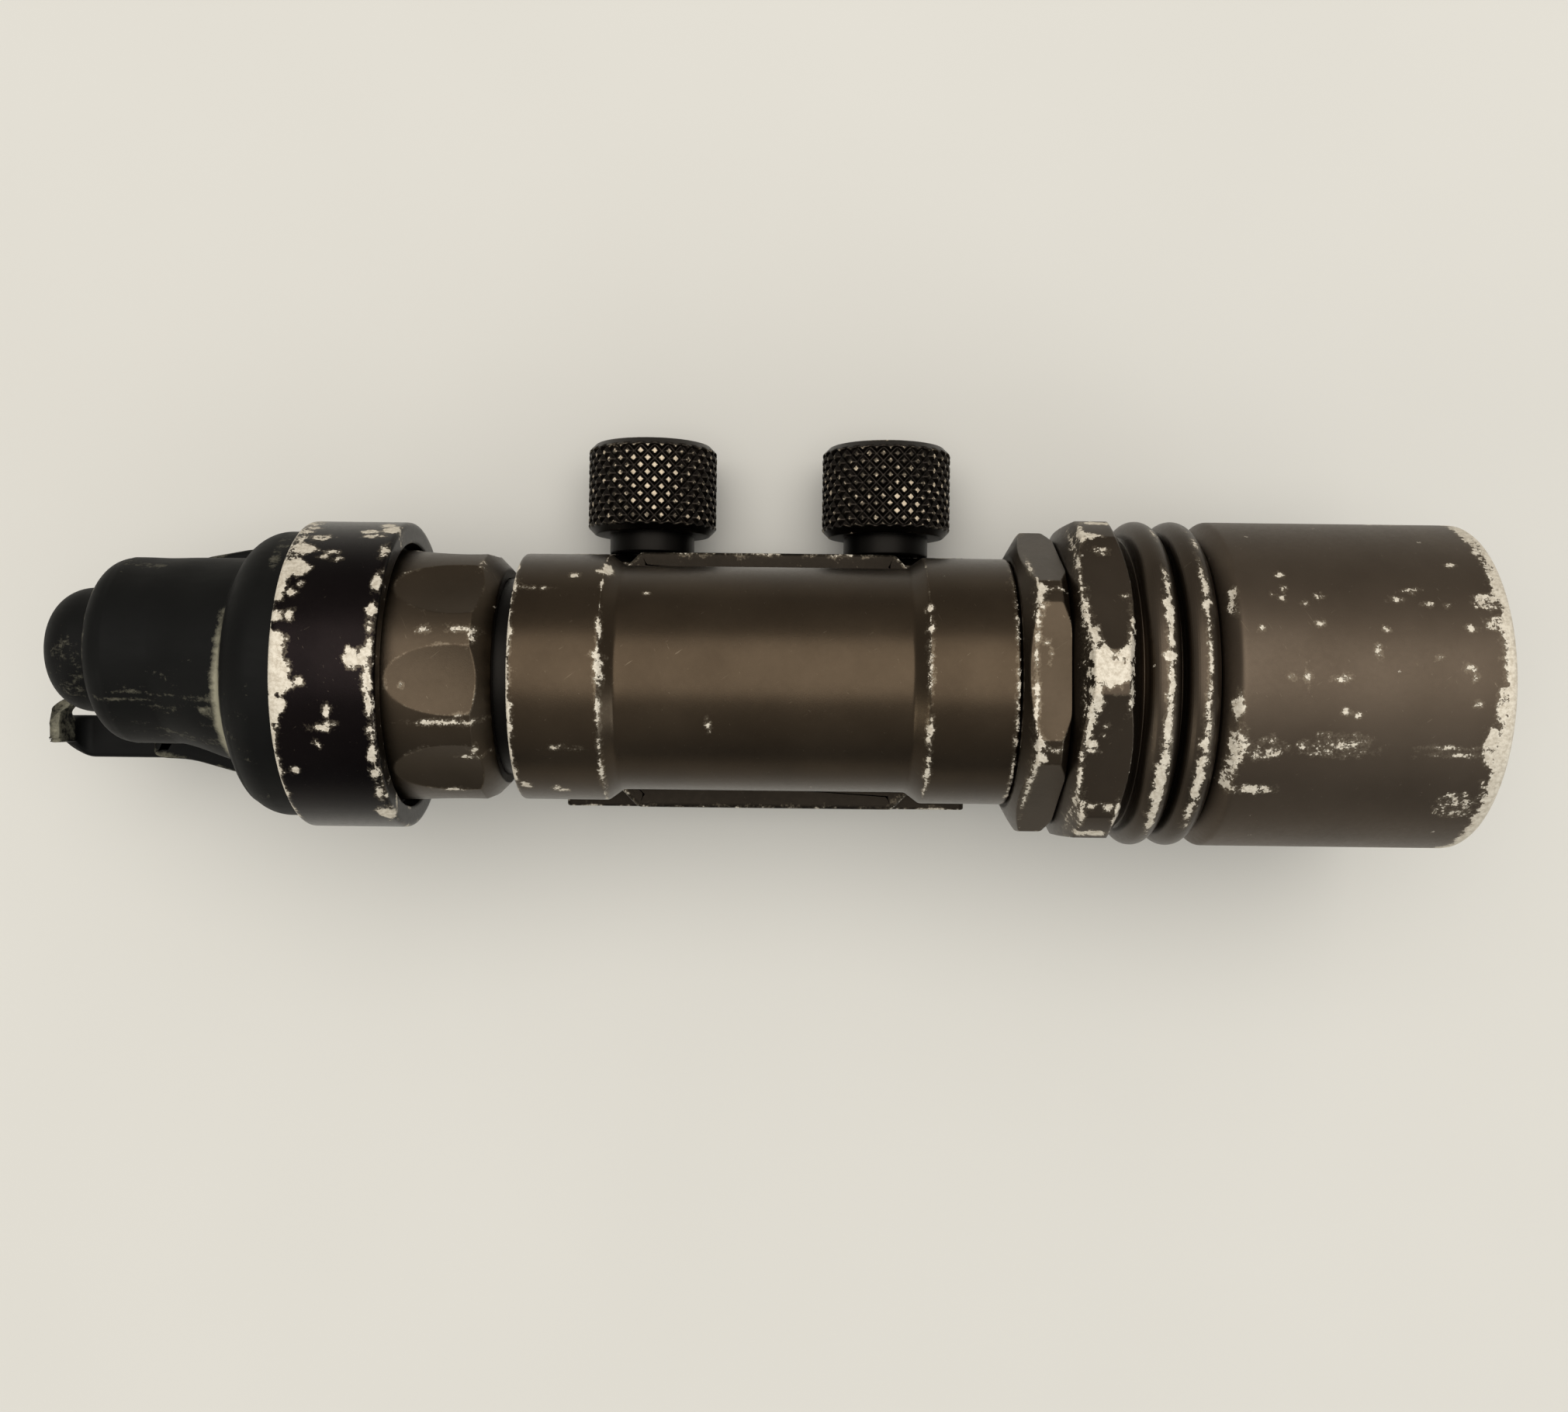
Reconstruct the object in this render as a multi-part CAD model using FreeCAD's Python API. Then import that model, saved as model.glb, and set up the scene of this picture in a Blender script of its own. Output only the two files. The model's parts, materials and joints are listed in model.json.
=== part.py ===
"""Rail-mounted tactical light: an assembly of separate pieces, one STEP file for each.

Frame, in millimetres: the origin is the middle of the rail seat, midway between the two
thumbscrews.  +X is the way the beam leaves, +Z is up and away from the rail, and +Y points out
along the thumbscrews.  The beam axis runs parallel to X at z = BEAM_Z.
"""
import FreeCAD, Part
import math
import os

# ---- overall places -------------------------------------------------------------------------
BEAM_Z = 18.6            # height of the beam axis over the rail seat
REST_Z = -9.0            # underside of the two jaws, on which the light lies

# ---- main body ------------------------------------------------------------------------------
BODY_HALF = 27.65        # half the length of the full-width tube
BODY_R = 14.2
RECESS_HALF = 16.2       # half the length of the turned-down middle
RECESS_R = 12.95
RECESS_STEP = 1.7        # length of the chamfer out of the recess
BORE_R = 8.8             # bore for the cells
NECK_R = 11.3            # threaded necks at both ends
NECK_REAR_X = -40.5
NECK_FRONT_X = 39.5
NECK_FIT = 0.02          # radial room of the collars on the necks
EDGE = 0.5               # small turned edge chamfer
HEAD_SEAL_X = 34.3       # O-ring in the front neck, and its groove
HEAD_SEAL_HALF = 0.7
HEAD_SEAL_R = 10.2
HEAD_SEAL_WIRE = 0.5
WEB_HALF_Y = 8.0         # web between the tube and the saddle
WEB_TOP_Z = 9.6

# ---- saddle and rail clamp ------------------------------------------------------------------
FLANGE_HALF_X = 18.7
FLANGE_HALF_Y = 15.8
FLANGE_LOW = 3.6
FLANGE_TOP = 7.6
FLANGE_BEVEL = 3.0
CLAMP_HALF_X = 25.0
CLAMP_HALF_Y = 16.0
JAW_TOP = 3.3
RAIL_HALF_TOP = 7.9      # half the rail's flat top, with a little room
RAIL_HALF_WIDE = 10.7    # half the rail's widest section, with a little room
RAIL_HALF_NECK = 8.3     # half the rail's neck, with a little room
RAIL_SLOPE_Z = -2.8      # where the upper 45 degree face ends
RAIL_EDGE_Z = -3.9       # where the lower 45 degree face starts
BASE_FRONT_Y = 6.8       # clamp base's face towards the moving jaw
RAIL_PITCH = 10.008      # slot pitch of the accessory rail
STUD_X = 1.5 * RAIL_PITCH
STUD_Z = -0.3
STUD_R = 2.5
STUD_REAR_Y = -13.5
STUD_FRONT_Y = 27.0
STUD_GROOVE = 0.1        # room round a stud where it crosses the seat
SCREW_X = 8.0            # base screws
SCREW_Y = 4.6
SCREW_R = 1.5
SCREW_HEAD_R = 2.8
SCREW_HEAD = 1.4         # depth of the countersink
SCREW_TOP = 7.6
SCREW_FIT = 0.1          # room round the screws
SOCKET_R = 1.0
SOCKET_DEPTH = 1.1
JAW_EDGE = 1.5           # chamfer of the jaws' lower outer edges
JAW_TOP_EDGE = 1.2
JAW_GAP = 0.6            # between the rail and the moving jaw's step
JAW_SPRING_X = 5.0
JAW_SPRING_Y = -0.6
JAW_SPRING_Z = 1.75
JAW_SPRING_LENGTH = 9.0
JAW_SPRING_MEAN_R = 1.0
JAW_SPRING_WIRE = 0.25
JAW_SPRING_TURNS = 7
SPRING_POCKET_Y = -1.0
SPRING_POCKET_R = 1.5

# ---- thumbscrews ----------------------------------------------------------------------------
THUMB_R = 8.2
THUMB_NECK_R = 5.4
THUMB_NECK_Y = 16.1
THUMB_HEAD_Y = 18.6
THUMB_END_Y = 30.1
THUMB_BEVEL = 0.9
THUMB_BORE_END = 0.4     # room past a stud's end
RUNNING_GAP = 0.06       # radial clearance of turning and sliding fits

# ---- front end ------------------------------------------------------------------------------
COLLAR_X0 = 27.7
COLLAR_X1 = 32.62
COLLAR_FLATS = 31.3      # across flats
COLLAR_R = 17.3
COLLAR_TURN = 3.4        # turn of its upper flat towards +Y, degrees
COLLAR_REAR_BEVEL = 1.6
COLLAR_FRONT_BEVEL = 0.9
HEAD_X0 = 32.8
HEAD_REAR_R = 16.2
HEX_FLATS = 35.3
HEX_R = 19.15
HEX_TURN = 32.5          # turn of a flat's middle towards +Y, degrees
HEX_REAR_X = 34.4        # between these the hexagon is at its full radius
HEX_FRONT_X = 38.05
HEX_END_X = 39.6
HEX_END_R = 16.8
HEAD_R = 18.65
FIN_X = (42.1, 46.2)     # crests of the cooling fins
FIN_CREST_R = 1.85
VALLEY_R = 16.5
SHOULDER_X = 49.9
HEAD_JOIN_X = 48.3       # head and bezel meet at the bottom of the last groove
JOIN_GAP = 0.02          # room at faces and fits that meet
HEAD_BORE_X = 41.8       # rear end of the lamp unit's bore in the head
SPIGOT_X = 44.0          # rear end of the bezel's spigot
RIM_X = 78.5
RIM_EDGE = 1.6
RIM_DROP = 1.2
WINDOW_R = 16.6
WINDOW_X0 = 73.0
WINDOW_X1 = 75.5
GASKET_BORE_R = 15.4
RETAINER_X0 = 76.0
RETAINER_X1 = 77.7
RETAINER_WALL = 0.9
RETAINER_MOUTH_R = 16.2
BEZEL_BORE_R = 16.9
BEZEL_BORE_X = 53.5
BEZEL_LIP = 0.6
SPIGOT_R = 15.5
PILL_R = 13.5
PILL_FIT = 0.1
PILL_X0 = 45.0
PILL_X1 = 52.6
DRIVER_R = 13.2
DRIVER_X0 = 42.4
DRIVER_X1 = 43.9
LAMP_BOARD_R = 8.0
LAMP_BOARD_X = 54.1
LAMP_BASE = 3.5          # side of the emitter's square base
LAMP_BASE_X = 54.9
LAMP_DOME_R = 1.5
CUP_REAR_X = 54.3        # rear end of the reflector
CUP_REAR_R = 3.5
CUP_WALL = 1.4
CUP_FRONT_X = 72.3
CUP_MIDDLE_X = 62.0
CUP_MIDDLE_R = 10.4
CUP_MIDDLE_BACK_R = 11.4
CUP_FRONT_R = 15.2
CUP_LIP = 0.8

# ---- cells ----------------------------------------------------------------------------------
CELL_R = 8.5
CELL_LENGTH = 34.5
CELL_NUB_R = 3.0
CELL_NUB = 1.0
CELL_STACK_X = -36.9     # rear end of the pair of cells
HEAD_SPRING_X0 = 32.2
HEAD_SPRING_X1 = 42.3
HEAD_SPRING_R = 3.0
HEAD_SPRING_WIRE = 0.35
HEAD_SPRING_TURNS = 6
TAIL_SPRING_X0 = -43.6
TAIL_SPRING_X1 = -37.0
TAIL_SPRING_R = 5.0
TAIL_SPRING_WIRE = 0.4
TAIL_SPRING_TURNS = 4

# ---- tail end -------------------------------------------------------------------------------
FLUTE_X0 = -42.7
FLUTE_X1 = -30.5
FLUTE_LAND_R = 14.4
FLUTE_FLOOR = 13.9       # from the beam axis to the deepest line of a flute
FLUTE_DEEP_X = -33.6
FLUTE_ARC = 45.0         # radius of a flute's floor along the beam
FLUTE_TURN = -3.0        # turn of the uppermost flute towards +Y, degrees
FLUTE_COUNT = 8
FLUTE_BEVEL = 1.0
THREAD_R = 14.6
THREAD_X = -48.3
RING_X0 = -51.9
RING_X1 = -40.7
RING_R = 17.6
RING_SEAT_X = -49.4      # front of the ring's inner groove
RING_LIP_X = -51.12      # rear of it
RING_GROOVE_R = 16.95
RING_LIP_R = 16.5
RING_MOUTH_R = 15.2
HOUSING_FLANGE_R = 16.8
HOUSING_FLANGE_X0 = -51.05
HOUSING_FLANGE_X1 = -49.5
HOUSING_FRONT_X = -42.0
HOUSING_SPIGOT_R = 11.2
HOUSING_BORE_R = 9.6
HOUSING_BORE_X = -46.5
CUP_END_X = -69.8        # rear end of the switch cup
CUP_OUTER_R = 8.6
CUP_INNER_R = 6.4
TAIL_SEAL_X = -46.8
TAIL_SEAL_HALF = 0.8
TAIL_SEAL_R = 9.75       # bottom of its groove
TAIL_SEAL_MIDDLE_R = 10.45
TAIL_SEAL_WIRE = 0.65
SWITCH_R = 6.3
SWITCH_X0 = -61.5
SWITCH_X1 = -49.2
SWITCH_BOARD_R = 9.5
SWITCH_BOARD_X0 = -45.2
SWITCH_BOARD_X1 = -43.7
PLUNGER_R = 3.0
PLUNGER_ROOM = 0.2       # between the pressed plunger and the switch
BOOT_Y = 2.5             # the sleeve's axis is off the beam axis
BOOT_R = 10.7
BOOT_REAR_X = -75.6
BOOT_CORNER = 2.9
BOOT_BORE_R = 8.7
BOOT_BORE_X = -73.6
BOOT_LIP_X = -72.6
BOOT_FRONT_X = -51.1
BOOT_FLANGE_R = 16.4
BOOT_ROUND_X = -54.3     # where the flange starts to round over
BOOT_ROUND_R = 4.4
BOOT_ROUND_TURN = 64     # degrees
BOOT_CONE_X = -59.3
BOOT_CONE_R = 11.9
BOOT_FLARE_X = -58.0     # the flare's wide end
BOOT_FLARE_R = 12.16
BOOT_FLARE_Y = 1.04
BOOT_FLARE_END_X = -67.5
BUTTON_R = 7.2
BUTTON_BASE_X = -71.9
BUTTON_DOME_X = -77.6
BUTTON_CORNER = 4.5
BUTTON_CORNER_TURN = 66  # degrees
BUTTON_TIP_X = -82.8
BUTTON_HOLE_R = 7.5
BUTTON_STROKE = 1.5
TONGUE_Z = -12.6         # under the beam axis
TONGUE_THICK = 1.7
TONGUE_START = (-58.5, -8.0)
TONGUE_OUTLINE = [
    ((-60.2, -11.9), (-63.0, -12.9)),
    (-71.5, -10.6),
    (-74.7, -10.5),
    ((-76.0, -9.6), (-76.3, -8.0)),
    (-76.0, -4.0),
    ((-75.0, 6.0), (-70.7, 14.4)),
    (-62.8, 15.9),
    ((-59.8, 13.5), (-58.5, 9.0)),
]
STRAP_Y = -7.85
STRAP_WIDTH = 5.3
STRAP_THICK = 1.5
STRAP_ROOT_X = -74.0
STRAP_BEND_X = -83.6     # where the strap starts to turn up
STRAP_END_X = -86.5
STRAP_RISE = 7.4
CURL_X = -84.2           # upright axis of the torn end's curl
CURL_R = 2.3
CURL_LIFT = 2.0
CURL_TURN = 90           # degrees

V = FreeCAD.Vector
X_AXIS = V(1, 0, 0)
Y_AXIS = V(0, 1, 0)
Z_AXIS = V(0, 0, 1)


def outline_wire(start, steps, place):
    """A closed wire: a step is a point for a line, or two points for an arc through the first."""
    edges = []
    here = place(*start)
    for step in steps + [start]:
        if isinstance(step[0], tuple):
            middle = place(*step[0])
            there = place(*step[1])
            edges.append(Part.Arc(here, middle, there).toShape())
        else:
            there = place(*step)
            if there.distanceToPoint(here) < 1e-7:
                continue
            edges.append(Part.LineSegment(here, there).toShape())
        here = there
    return Part.Wire(edges)


def on_beam(shape, y=0.0):
    """The shape moved from the X axis to the beam axis, or to a line beside it."""
    shape.translate(V(0, y, BEAM_Z))
    return shape


def spin(start, steps, y=0.0):
    """A solid of revolution about the beam axis from an (x, radius) outline."""
    face = Part.Face(outline_wire(start, steps, lambda x, r: V(x, r, 0)))
    return on_beam(face.revolve(V(0, 0, 0), X_AXIS, 360), y)


def rod(x0, x1, radius, y=0.0):
    """A plain cylinder along the beam axis."""
    return on_beam(Part.makeCylinder(radius, x1 - x0, V(x0, 0, 0), X_AXIS), y)


def tube(x0, x1, outer, inner, y=0.0):
    return rod(x0, x1, outer, y).cut(rod(x0 - 1, x1 + 1, inner, y))


def cross_rod(x, y0, y1, radius, z=STUD_Z):
    """A plain cylinder along Y."""
    return Part.makeCylinder(radius, y1 - y0, V(x, y0, z), Y_AXIS)


def block(low, high):
    size = [b - a for a, b in zip(low, high)]
    return Part.makeBox(size[0], size[1], size[2], V(*low))


def rail_section(points, half_x=CLAMP_HALF_X):
    """A bar along X from a (y, z) section."""
    wire = outline_wire(points[0], points[1:], lambda y, z: V(-half_x, y, z))
    return Part.Face(wire).extrude(V(2 * half_x, 0, 0))


def prism(x0, x1, sides, across_flats, turn):
    """A polygonal bar about the beam axis, with one flat's middle turned from +Z towards +Y."""
    corner_r = across_flats / 2 / math.cos(math.pi / sides)
    points = []
    for k in range(sides):
        angle = math.radians(turn + (k + 0.5) * 360 / sides)
        points.append(V(x0, corner_r * math.sin(angle), corner_r * math.cos(angle)))
    wire = Part.makePolygon(points + [points[0]])
    return on_beam(Part.Face(wire).extrude(V(x1 - x0, 0, 0)))


def coil(x0, x1, mean_r, wire_r, turns):
    """A coil spring along the beam axis, its wire's ends inside x0 and x1."""
    height = x1 - x0 - 2 * wire_r
    helix = Part.makeHelix(height / turns, height, mean_r)
    section = Part.Wire(Part.makeCircle(wire_r, V(mean_r, 0, 0), Y_AXIS))
    spring = Part.Wire(helix).makePipeShell([section], True, True)
    spring.rotate(V(0, 0, 0), Y_AXIS, 90)
    spring.translate(V(x0 + wire_r, 0, 0))
    return on_beam(spring)


def ring_seal(x, mean_r, section_r):
    """An O-ring about the beam axis."""
    return on_beam(Part.makeTorus(mean_r, section_r, V(x, 0, 0), X_AXIS))


def round_over(x, radius, bend, turn):
    """Middle and end of an edge that rounds over towards -X from a line along the beam."""
    points = []
    for angle in (math.radians(turn / 2), math.radians(turn)):
        points.append((x - bend * math.sin(angle), radius - bend * (1 - math.cos(angle))))
    return tuple(points)


# ---- main body ------------------------------------------------------------------------------
def body_tube():
    outer = spin((NECK_REAR_X, 0), [
        (NECK_REAR_X, NECK_R),
        (-BODY_HALF, NECK_R),
        (-BODY_HALF, BODY_R - EDGE),
        (-BODY_HALF + EDGE, BODY_R),
        (-RECESS_HALF - RECESS_STEP, BODY_R),
        (-RECESS_HALF, RECESS_R),
        (RECESS_HALF, RECESS_R),
        (RECESS_HALF + RECESS_STEP, BODY_R),
        (BODY_HALF - EDGE, BODY_R),
        (BODY_HALF, BODY_R - EDGE),
        (BODY_HALF, NECK_R),
        (NECK_FRONT_X, NECK_R),
        (NECK_FRONT_X, 0),
    ])
    flange = block((-FLANGE_HALF_X, -FLANGE_HALF_Y, FLANGE_LOW),
                   (FLANGE_HALF_X, FLANGE_HALF_Y, FLANGE_TOP))
    corners = [e for e in flange.Edges if abs(e.tangentAt(e.FirstParameter).z) > 0.9]
    flange = flange.makeChamfer(FLANGE_BEVEL, corners)
    web = block((-RECESS_HALF, -WEB_HALF_Y, FLANGE_LOW), (RECESS_HALF, WEB_HALF_Y, WEB_TOP_Z))
    body = outer.fuse([flange, web])
    body = body.cut(rod(NECK_REAR_X - 1, NECK_FRONT_X + 1, BORE_R))
    body = body.cut(tube(HEAD_SEAL_X - HEAD_SEAL_HALF, HEAD_SEAL_X + HEAD_SEAL_HALF,
                         NECK_R + 1, HEAD_SEAL_R))
    for x, y in screw_places():
        depth = SCREW_TOP + EDGE - FLANGE_LOW + 1
        body = body.cut(Part.makeCylinder(SCREW_R, depth, V(x, y, FLANGE_LOW - 1)))
    return body.removeSplitter()


def rear_collar():
    """Fluted collar on the rear neck, with the ring's thread behind the flutes."""
    bore = NECK_R + NECK_FIT
    blank = spin((THREAD_X, bore), [
        (THREAD_X, THREAD_R - EDGE),
        (THREAD_X + EDGE, THREAD_R),
        (FLUTE_X0, THREAD_R),
        (FLUTE_X0, FLUTE_LAND_R),
        (FLUTE_X1 - FLUTE_BEVEL, FLUTE_LAND_R),
        (FLUTE_X1 + FLUTE_BEVEL, FLUTE_LAND_R - 2 * FLUTE_BEVEL),
        (FLUTE_X1 + FLUTE_BEVEL, bore),
    ])
    for k in range(FLUTE_COUNT):
        cut = Part.makeCylinder(FLUTE_ARC, FLUTE_LAND_R,
                                V(FLUTE_DEEP_X, -FLUTE_LAND_R / 2, FLUTE_FLOOR + FLUTE_ARC), Y_AXIS)
        cut.rotate(V(0, 0, 0), X_AXIS, -(FLUTE_TURN + k * 360 / FLUTE_COUNT))
        blank = blank.cut(on_beam(cut))
    return blank


def front_collar():
    """Hexagonal collar on the front neck."""
    turned = spin((COLLAR_X0, NECK_R + NECK_FIT), [
        (COLLAR_X0, COLLAR_R - COLLAR_REAR_BEVEL),
        (COLLAR_X0 + COLLAR_REAR_BEVEL, COLLAR_R),
        (COLLAR_X1 - COLLAR_FRONT_BEVEL, COLLAR_R),
        (COLLAR_X1, COLLAR_R - COLLAR_FRONT_BEVEL),
        (COLLAR_X1, NECK_R + NECK_FIT),
    ])
    return turned.common(prism(COLLAR_X0 - 1, COLLAR_X1 + 1, 6, COLLAR_FLATS, COLLAR_TURN))


# ---- rail clamp -----------------------------------------------------------------------------
def screw_places():
    return [(x, y) for x in (-SCREW_X, SCREW_X) for y in (-SCREW_Y, SCREW_Y)]


def clamp_base():
    """Block under the saddle, with the rail seat and the fixed jaw."""
    base = rail_section([
        (-CLAMP_HALF_Y, FLANGE_LOW), (BASE_FRONT_Y, FLANGE_LOW), (BASE_FRONT_Y, 0),
        (-RAIL_HALF_TOP, 0), (-RAIL_HALF_WIDE, RAIL_SLOPE_Z), (-RAIL_HALF_WIDE, RAIL_EDGE_Z),
        (-RAIL_HALF_NECK, RAIL_EDGE_Z - RAIL_HALF_WIDE + RAIL_HALF_NECK),
        (-RAIL_HALF_NECK, REST_Z), (-CLAMP_HALF_Y + JAW_EDGE, REST_Z),
        (-CLAMP_HALF_Y, REST_Z + JAW_EDGE),
    ])
    for side in (-1, 1):
        base = base.cut(cross_rod(side * STUD_X, STUD_REAR_Y, -RAIL_HALF_TOP - 1, STUD_R))
        base = base.cut(cross_rod(side * STUD_X, -RAIL_HALF_WIDE, BASE_FRONT_Y + 1,
                                  STUD_R + STUD_GROOVE))
        base = base.cut(cross_rod(side * JAW_SPRING_X, SPRING_POCKET_Y, BASE_FRONT_Y + 1,
                                  SPRING_POCKET_R, JAW_SPRING_Z))
    hole = SCREW_R + SCREW_FIT
    for x, y in screw_places():
        base = base.cut(Part.makeCylinder(hole, FLANGE_LOW + 2, V(x, y, -1)))
        base = base.cut(Part.makeCone(SCREW_HEAD_R + SCREW_FIT, hole, SCREW_HEAD, V(x, y, 0)))
    return base


def base_screws():
    """Countersunk screws that hold the clamp base to the saddle."""
    screws = []
    for x, y in screw_places():
        head = Part.makeCone(SCREW_HEAD_R, SCREW_R, SCREW_HEAD - SCREW_FIT, V(x, y, SCREW_FIT))
        shank = Part.makeCylinder(SCREW_R, SCREW_TOP - SCREW_HEAD, V(x, y, SCREW_HEAD))
        socket = Part.makeCylinder(SOCKET_R, SOCKET_DEPTH, V(x, y, 0))
        screws.append(head.fuse(shank).cut(socket).removeSplitter())
    return Part.makeCompound(screws)


def clamp_studs():
    """Fixed threaded rods across the seat, on which the jaw slides and the thumbscrews turn."""
    return Part.makeCompound([cross_rod(side * STUD_X, STUD_REAR_Y, STUD_FRONT_Y, STUD_R)
                              for side in (-1, 1)])


def moving_jaw():
    jaw = rail_section([
        (RAIL_HALF_TOP + JAW_GAP, JAW_TOP), (RAIL_HALF_TOP + JAW_GAP, -JAW_GAP),
        (RAIL_HALF_WIDE, RAIL_SLOPE_Z), (RAIL_HALF_WIDE, RAIL_EDGE_Z),
        (RAIL_HALF_NECK, RAIL_EDGE_Z - RAIL_HALF_WIDE + RAIL_HALF_NECK), (RAIL_HALF_NECK, REST_Z),
        (CLAMP_HALF_Y - JAW_EDGE, REST_Z), (CLAMP_HALF_Y, REST_Z + JAW_EDGE),
        (CLAMP_HALF_Y, JAW_TOP - JAW_TOP_EDGE), (CLAMP_HALF_Y - JAW_TOP_EDGE, JAW_TOP),
    ])
    for side in (-1, 1):
        jaw = jaw.cut(cross_rod(side * STUD_X, 0, CLAMP_HALF_Y + 1, STUD_R + RUNNING_GAP))
    return jaw


def jaw_springs():
    """Two short coils in the clamp base that push the jaw open."""
    springs = []
    for side in (-1, 1):
        spring = coil(0, JAW_SPRING_LENGTH, JAW_SPRING_MEAN_R, JAW_SPRING_WIRE,
                      JAW_SPRING_TURNS)
        spring.translate(V(0, 0, -BEAM_Z))
        spring.rotate(V(0, 0, 0), Z_AXIS, 90)
        spring.translate(V(side * JAW_SPRING_X, JAW_SPRING_Y, JAW_SPRING_Z))
        springs.append(spring)
    return Part.makeCompound(springs)


def thumbscrew(x):
    """Knob with a neck, threaded on its stud."""
    profile = outline_wire((THUMB_NECK_Y, 0), [
        (THUMB_NECK_Y, THUMB_NECK_R),
        (THUMB_HEAD_Y, THUMB_NECK_R),
        (THUMB_HEAD_Y, THUMB_R - THUMB_BEVEL),
        (THUMB_HEAD_Y + THUMB_BEVEL, THUMB_R),
        (THUMB_END_Y - THUMB_BEVEL, THUMB_R),
        (THUMB_END_Y, THUMB_R - THUMB_BEVEL),
        (THUMB_END_Y, 0),
    ], lambda y, r: V(r, y, 0))
    knob = Part.Face(profile).revolve(V(0, 0, 0), Y_AXIS, 360)
    knob.translate(V(x, 0, STUD_Z))
    return knob.cut(cross_rod(x, THUMB_NECK_Y - 1, STUD_FRONT_Y + THUMB_BORE_END,
                              STUD_R + RUNNING_GAP))


# ---- head -----------------------------------------------------------------------------------
def fin_outline():
    """The cooling fins' outline: a round crest over each fin and a narrow groove between."""
    steps = []
    level = HEAD_R - FIN_CREST_R
    for x in FIN_X:
        steps.append((x - FIN_CREST_R, level))
        steps.append(((x, HEAD_R), (x + FIN_CREST_R, level)))
    middle = (FIN_X[0] + FIN_X[1]) / 2
    steps[2] = ((middle, VALLEY_R), steps[2])
    return steps + [(HEAD_JOIN_X, VALLEY_R)]


def head_body():
    """Finned head, threaded on the front neck, with the large hexagon at its rear."""
    neck = NECK_R + RUNNING_GAP
    turned = spin((HEAD_X0, neck), [
        (HEAD_X0, HEAD_REAR_R),
        (HEX_REAR_X, HEX_R),
        (HEX_FRONT_X, HEX_R),
        (HEX_END_X, HEX_END_R),
        (FIN_X[0] - FIN_CREST_R, VALLEY_R),
    ] + fin_outline() + [
        (HEAD_JOIN_X, SPIGOT_R + JOIN_GAP),
        (SPIGOT_X, SPIGOT_R + JOIN_GAP),
        (SPIGOT_X, PILL_R + PILL_FIT),
        (HEAD_BORE_X, PILL_R + PILL_FIT),
        (HEAD_BORE_X, neck),
    ])
    hexagon = prism(HEAD_X0 - 1, HEX_END_X, 6, HEX_FLATS, HEX_TURN)
    rest = rod(HEX_END_X, HEAD_JOIN_X + 1, HEAD_R + 1)
    return turned.common(hexagon.fuse(rest))


def bezel_tube():
    """Long plain bezel with a rounded rear shoulder and a worn round rim."""
    join = HEAD_JOIN_X + JOIN_GAP
    shoulder = SHOULDER_X - join
    corner = 1 - math.sqrt(0.5)
    rear = SPIGOT_X + JOIN_GAP
    rim = RIM_EDGE * corner
    return spin((rear, PILL_R + PILL_FIT), [
        (rear, SPIGOT_R),
        (join, SPIGOT_R),
        (join, HEAD_R - shoulder),
        ((join + shoulder * corner, HEAD_R - shoulder * corner), (SHOULDER_X, HEAD_R)),
        (RIM_X - RIM_EDGE, HEAD_R),
        ((RIM_X - rim, HEAD_R - rim * RIM_DROP / RIM_EDGE), (RIM_X, HEAD_R - RIM_DROP)),
        (RIM_X, BEZEL_BORE_R + BEZEL_LIP / 2),
        (RIM_X - BEZEL_LIP, BEZEL_BORE_R),
        (BEZEL_BORE_X, BEZEL_BORE_R),
        (BEZEL_BORE_X, PILL_R + PILL_FIT),
    ])


def retaining_ring():
    """Threaded ring inside the rim that holds the window."""
    outer = BEZEL_BORE_R - JOIN_GAP
    return spin((RETAINER_X0, GASKET_BORE_R), [
        (RETAINER_X0, outer),
        (RETAINER_X1, outer),
        (RETAINER_X1, RETAINER_MOUTH_R),
        (RETAINER_X0 + RETAINER_WALL, GASKET_BORE_R),
    ])


def reflector():
    """Thin parabolic cup with a front flange."""
    lip = CUP_FRONT_X - CUP_LIP
    return spin((CUP_REAR_X, CUP_REAR_R), [
        ((CUP_MIDDLE_X, CUP_MIDDLE_R), (CUP_FRONT_X, CUP_FRONT_R)),
        (CUP_FRONT_X, WINDOW_R),
        (lip, WINDOW_R),
        (lip, CUP_FRONT_R + CUP_LIP),
        ((CUP_MIDDLE_X, CUP_MIDDLE_BACK_R), (CUP_REAR_X, CUP_REAR_R + CUP_WALL)),
    ])


def led_emitter():
    half = LAMP_BASE / 2
    base = on_beam(block((LAMP_BOARD_X, -half, -half), (LAMP_BASE_X, half, half)))
    dome = on_beam(Part.makeSphere(LAMP_DOME_R, V(LAMP_BASE_X, 0, 0)))
    return base.fuse(dome.common(rod(LAMP_BOARD_X, LAMP_BASE_X + LAMP_DOME_R, half)))


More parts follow.
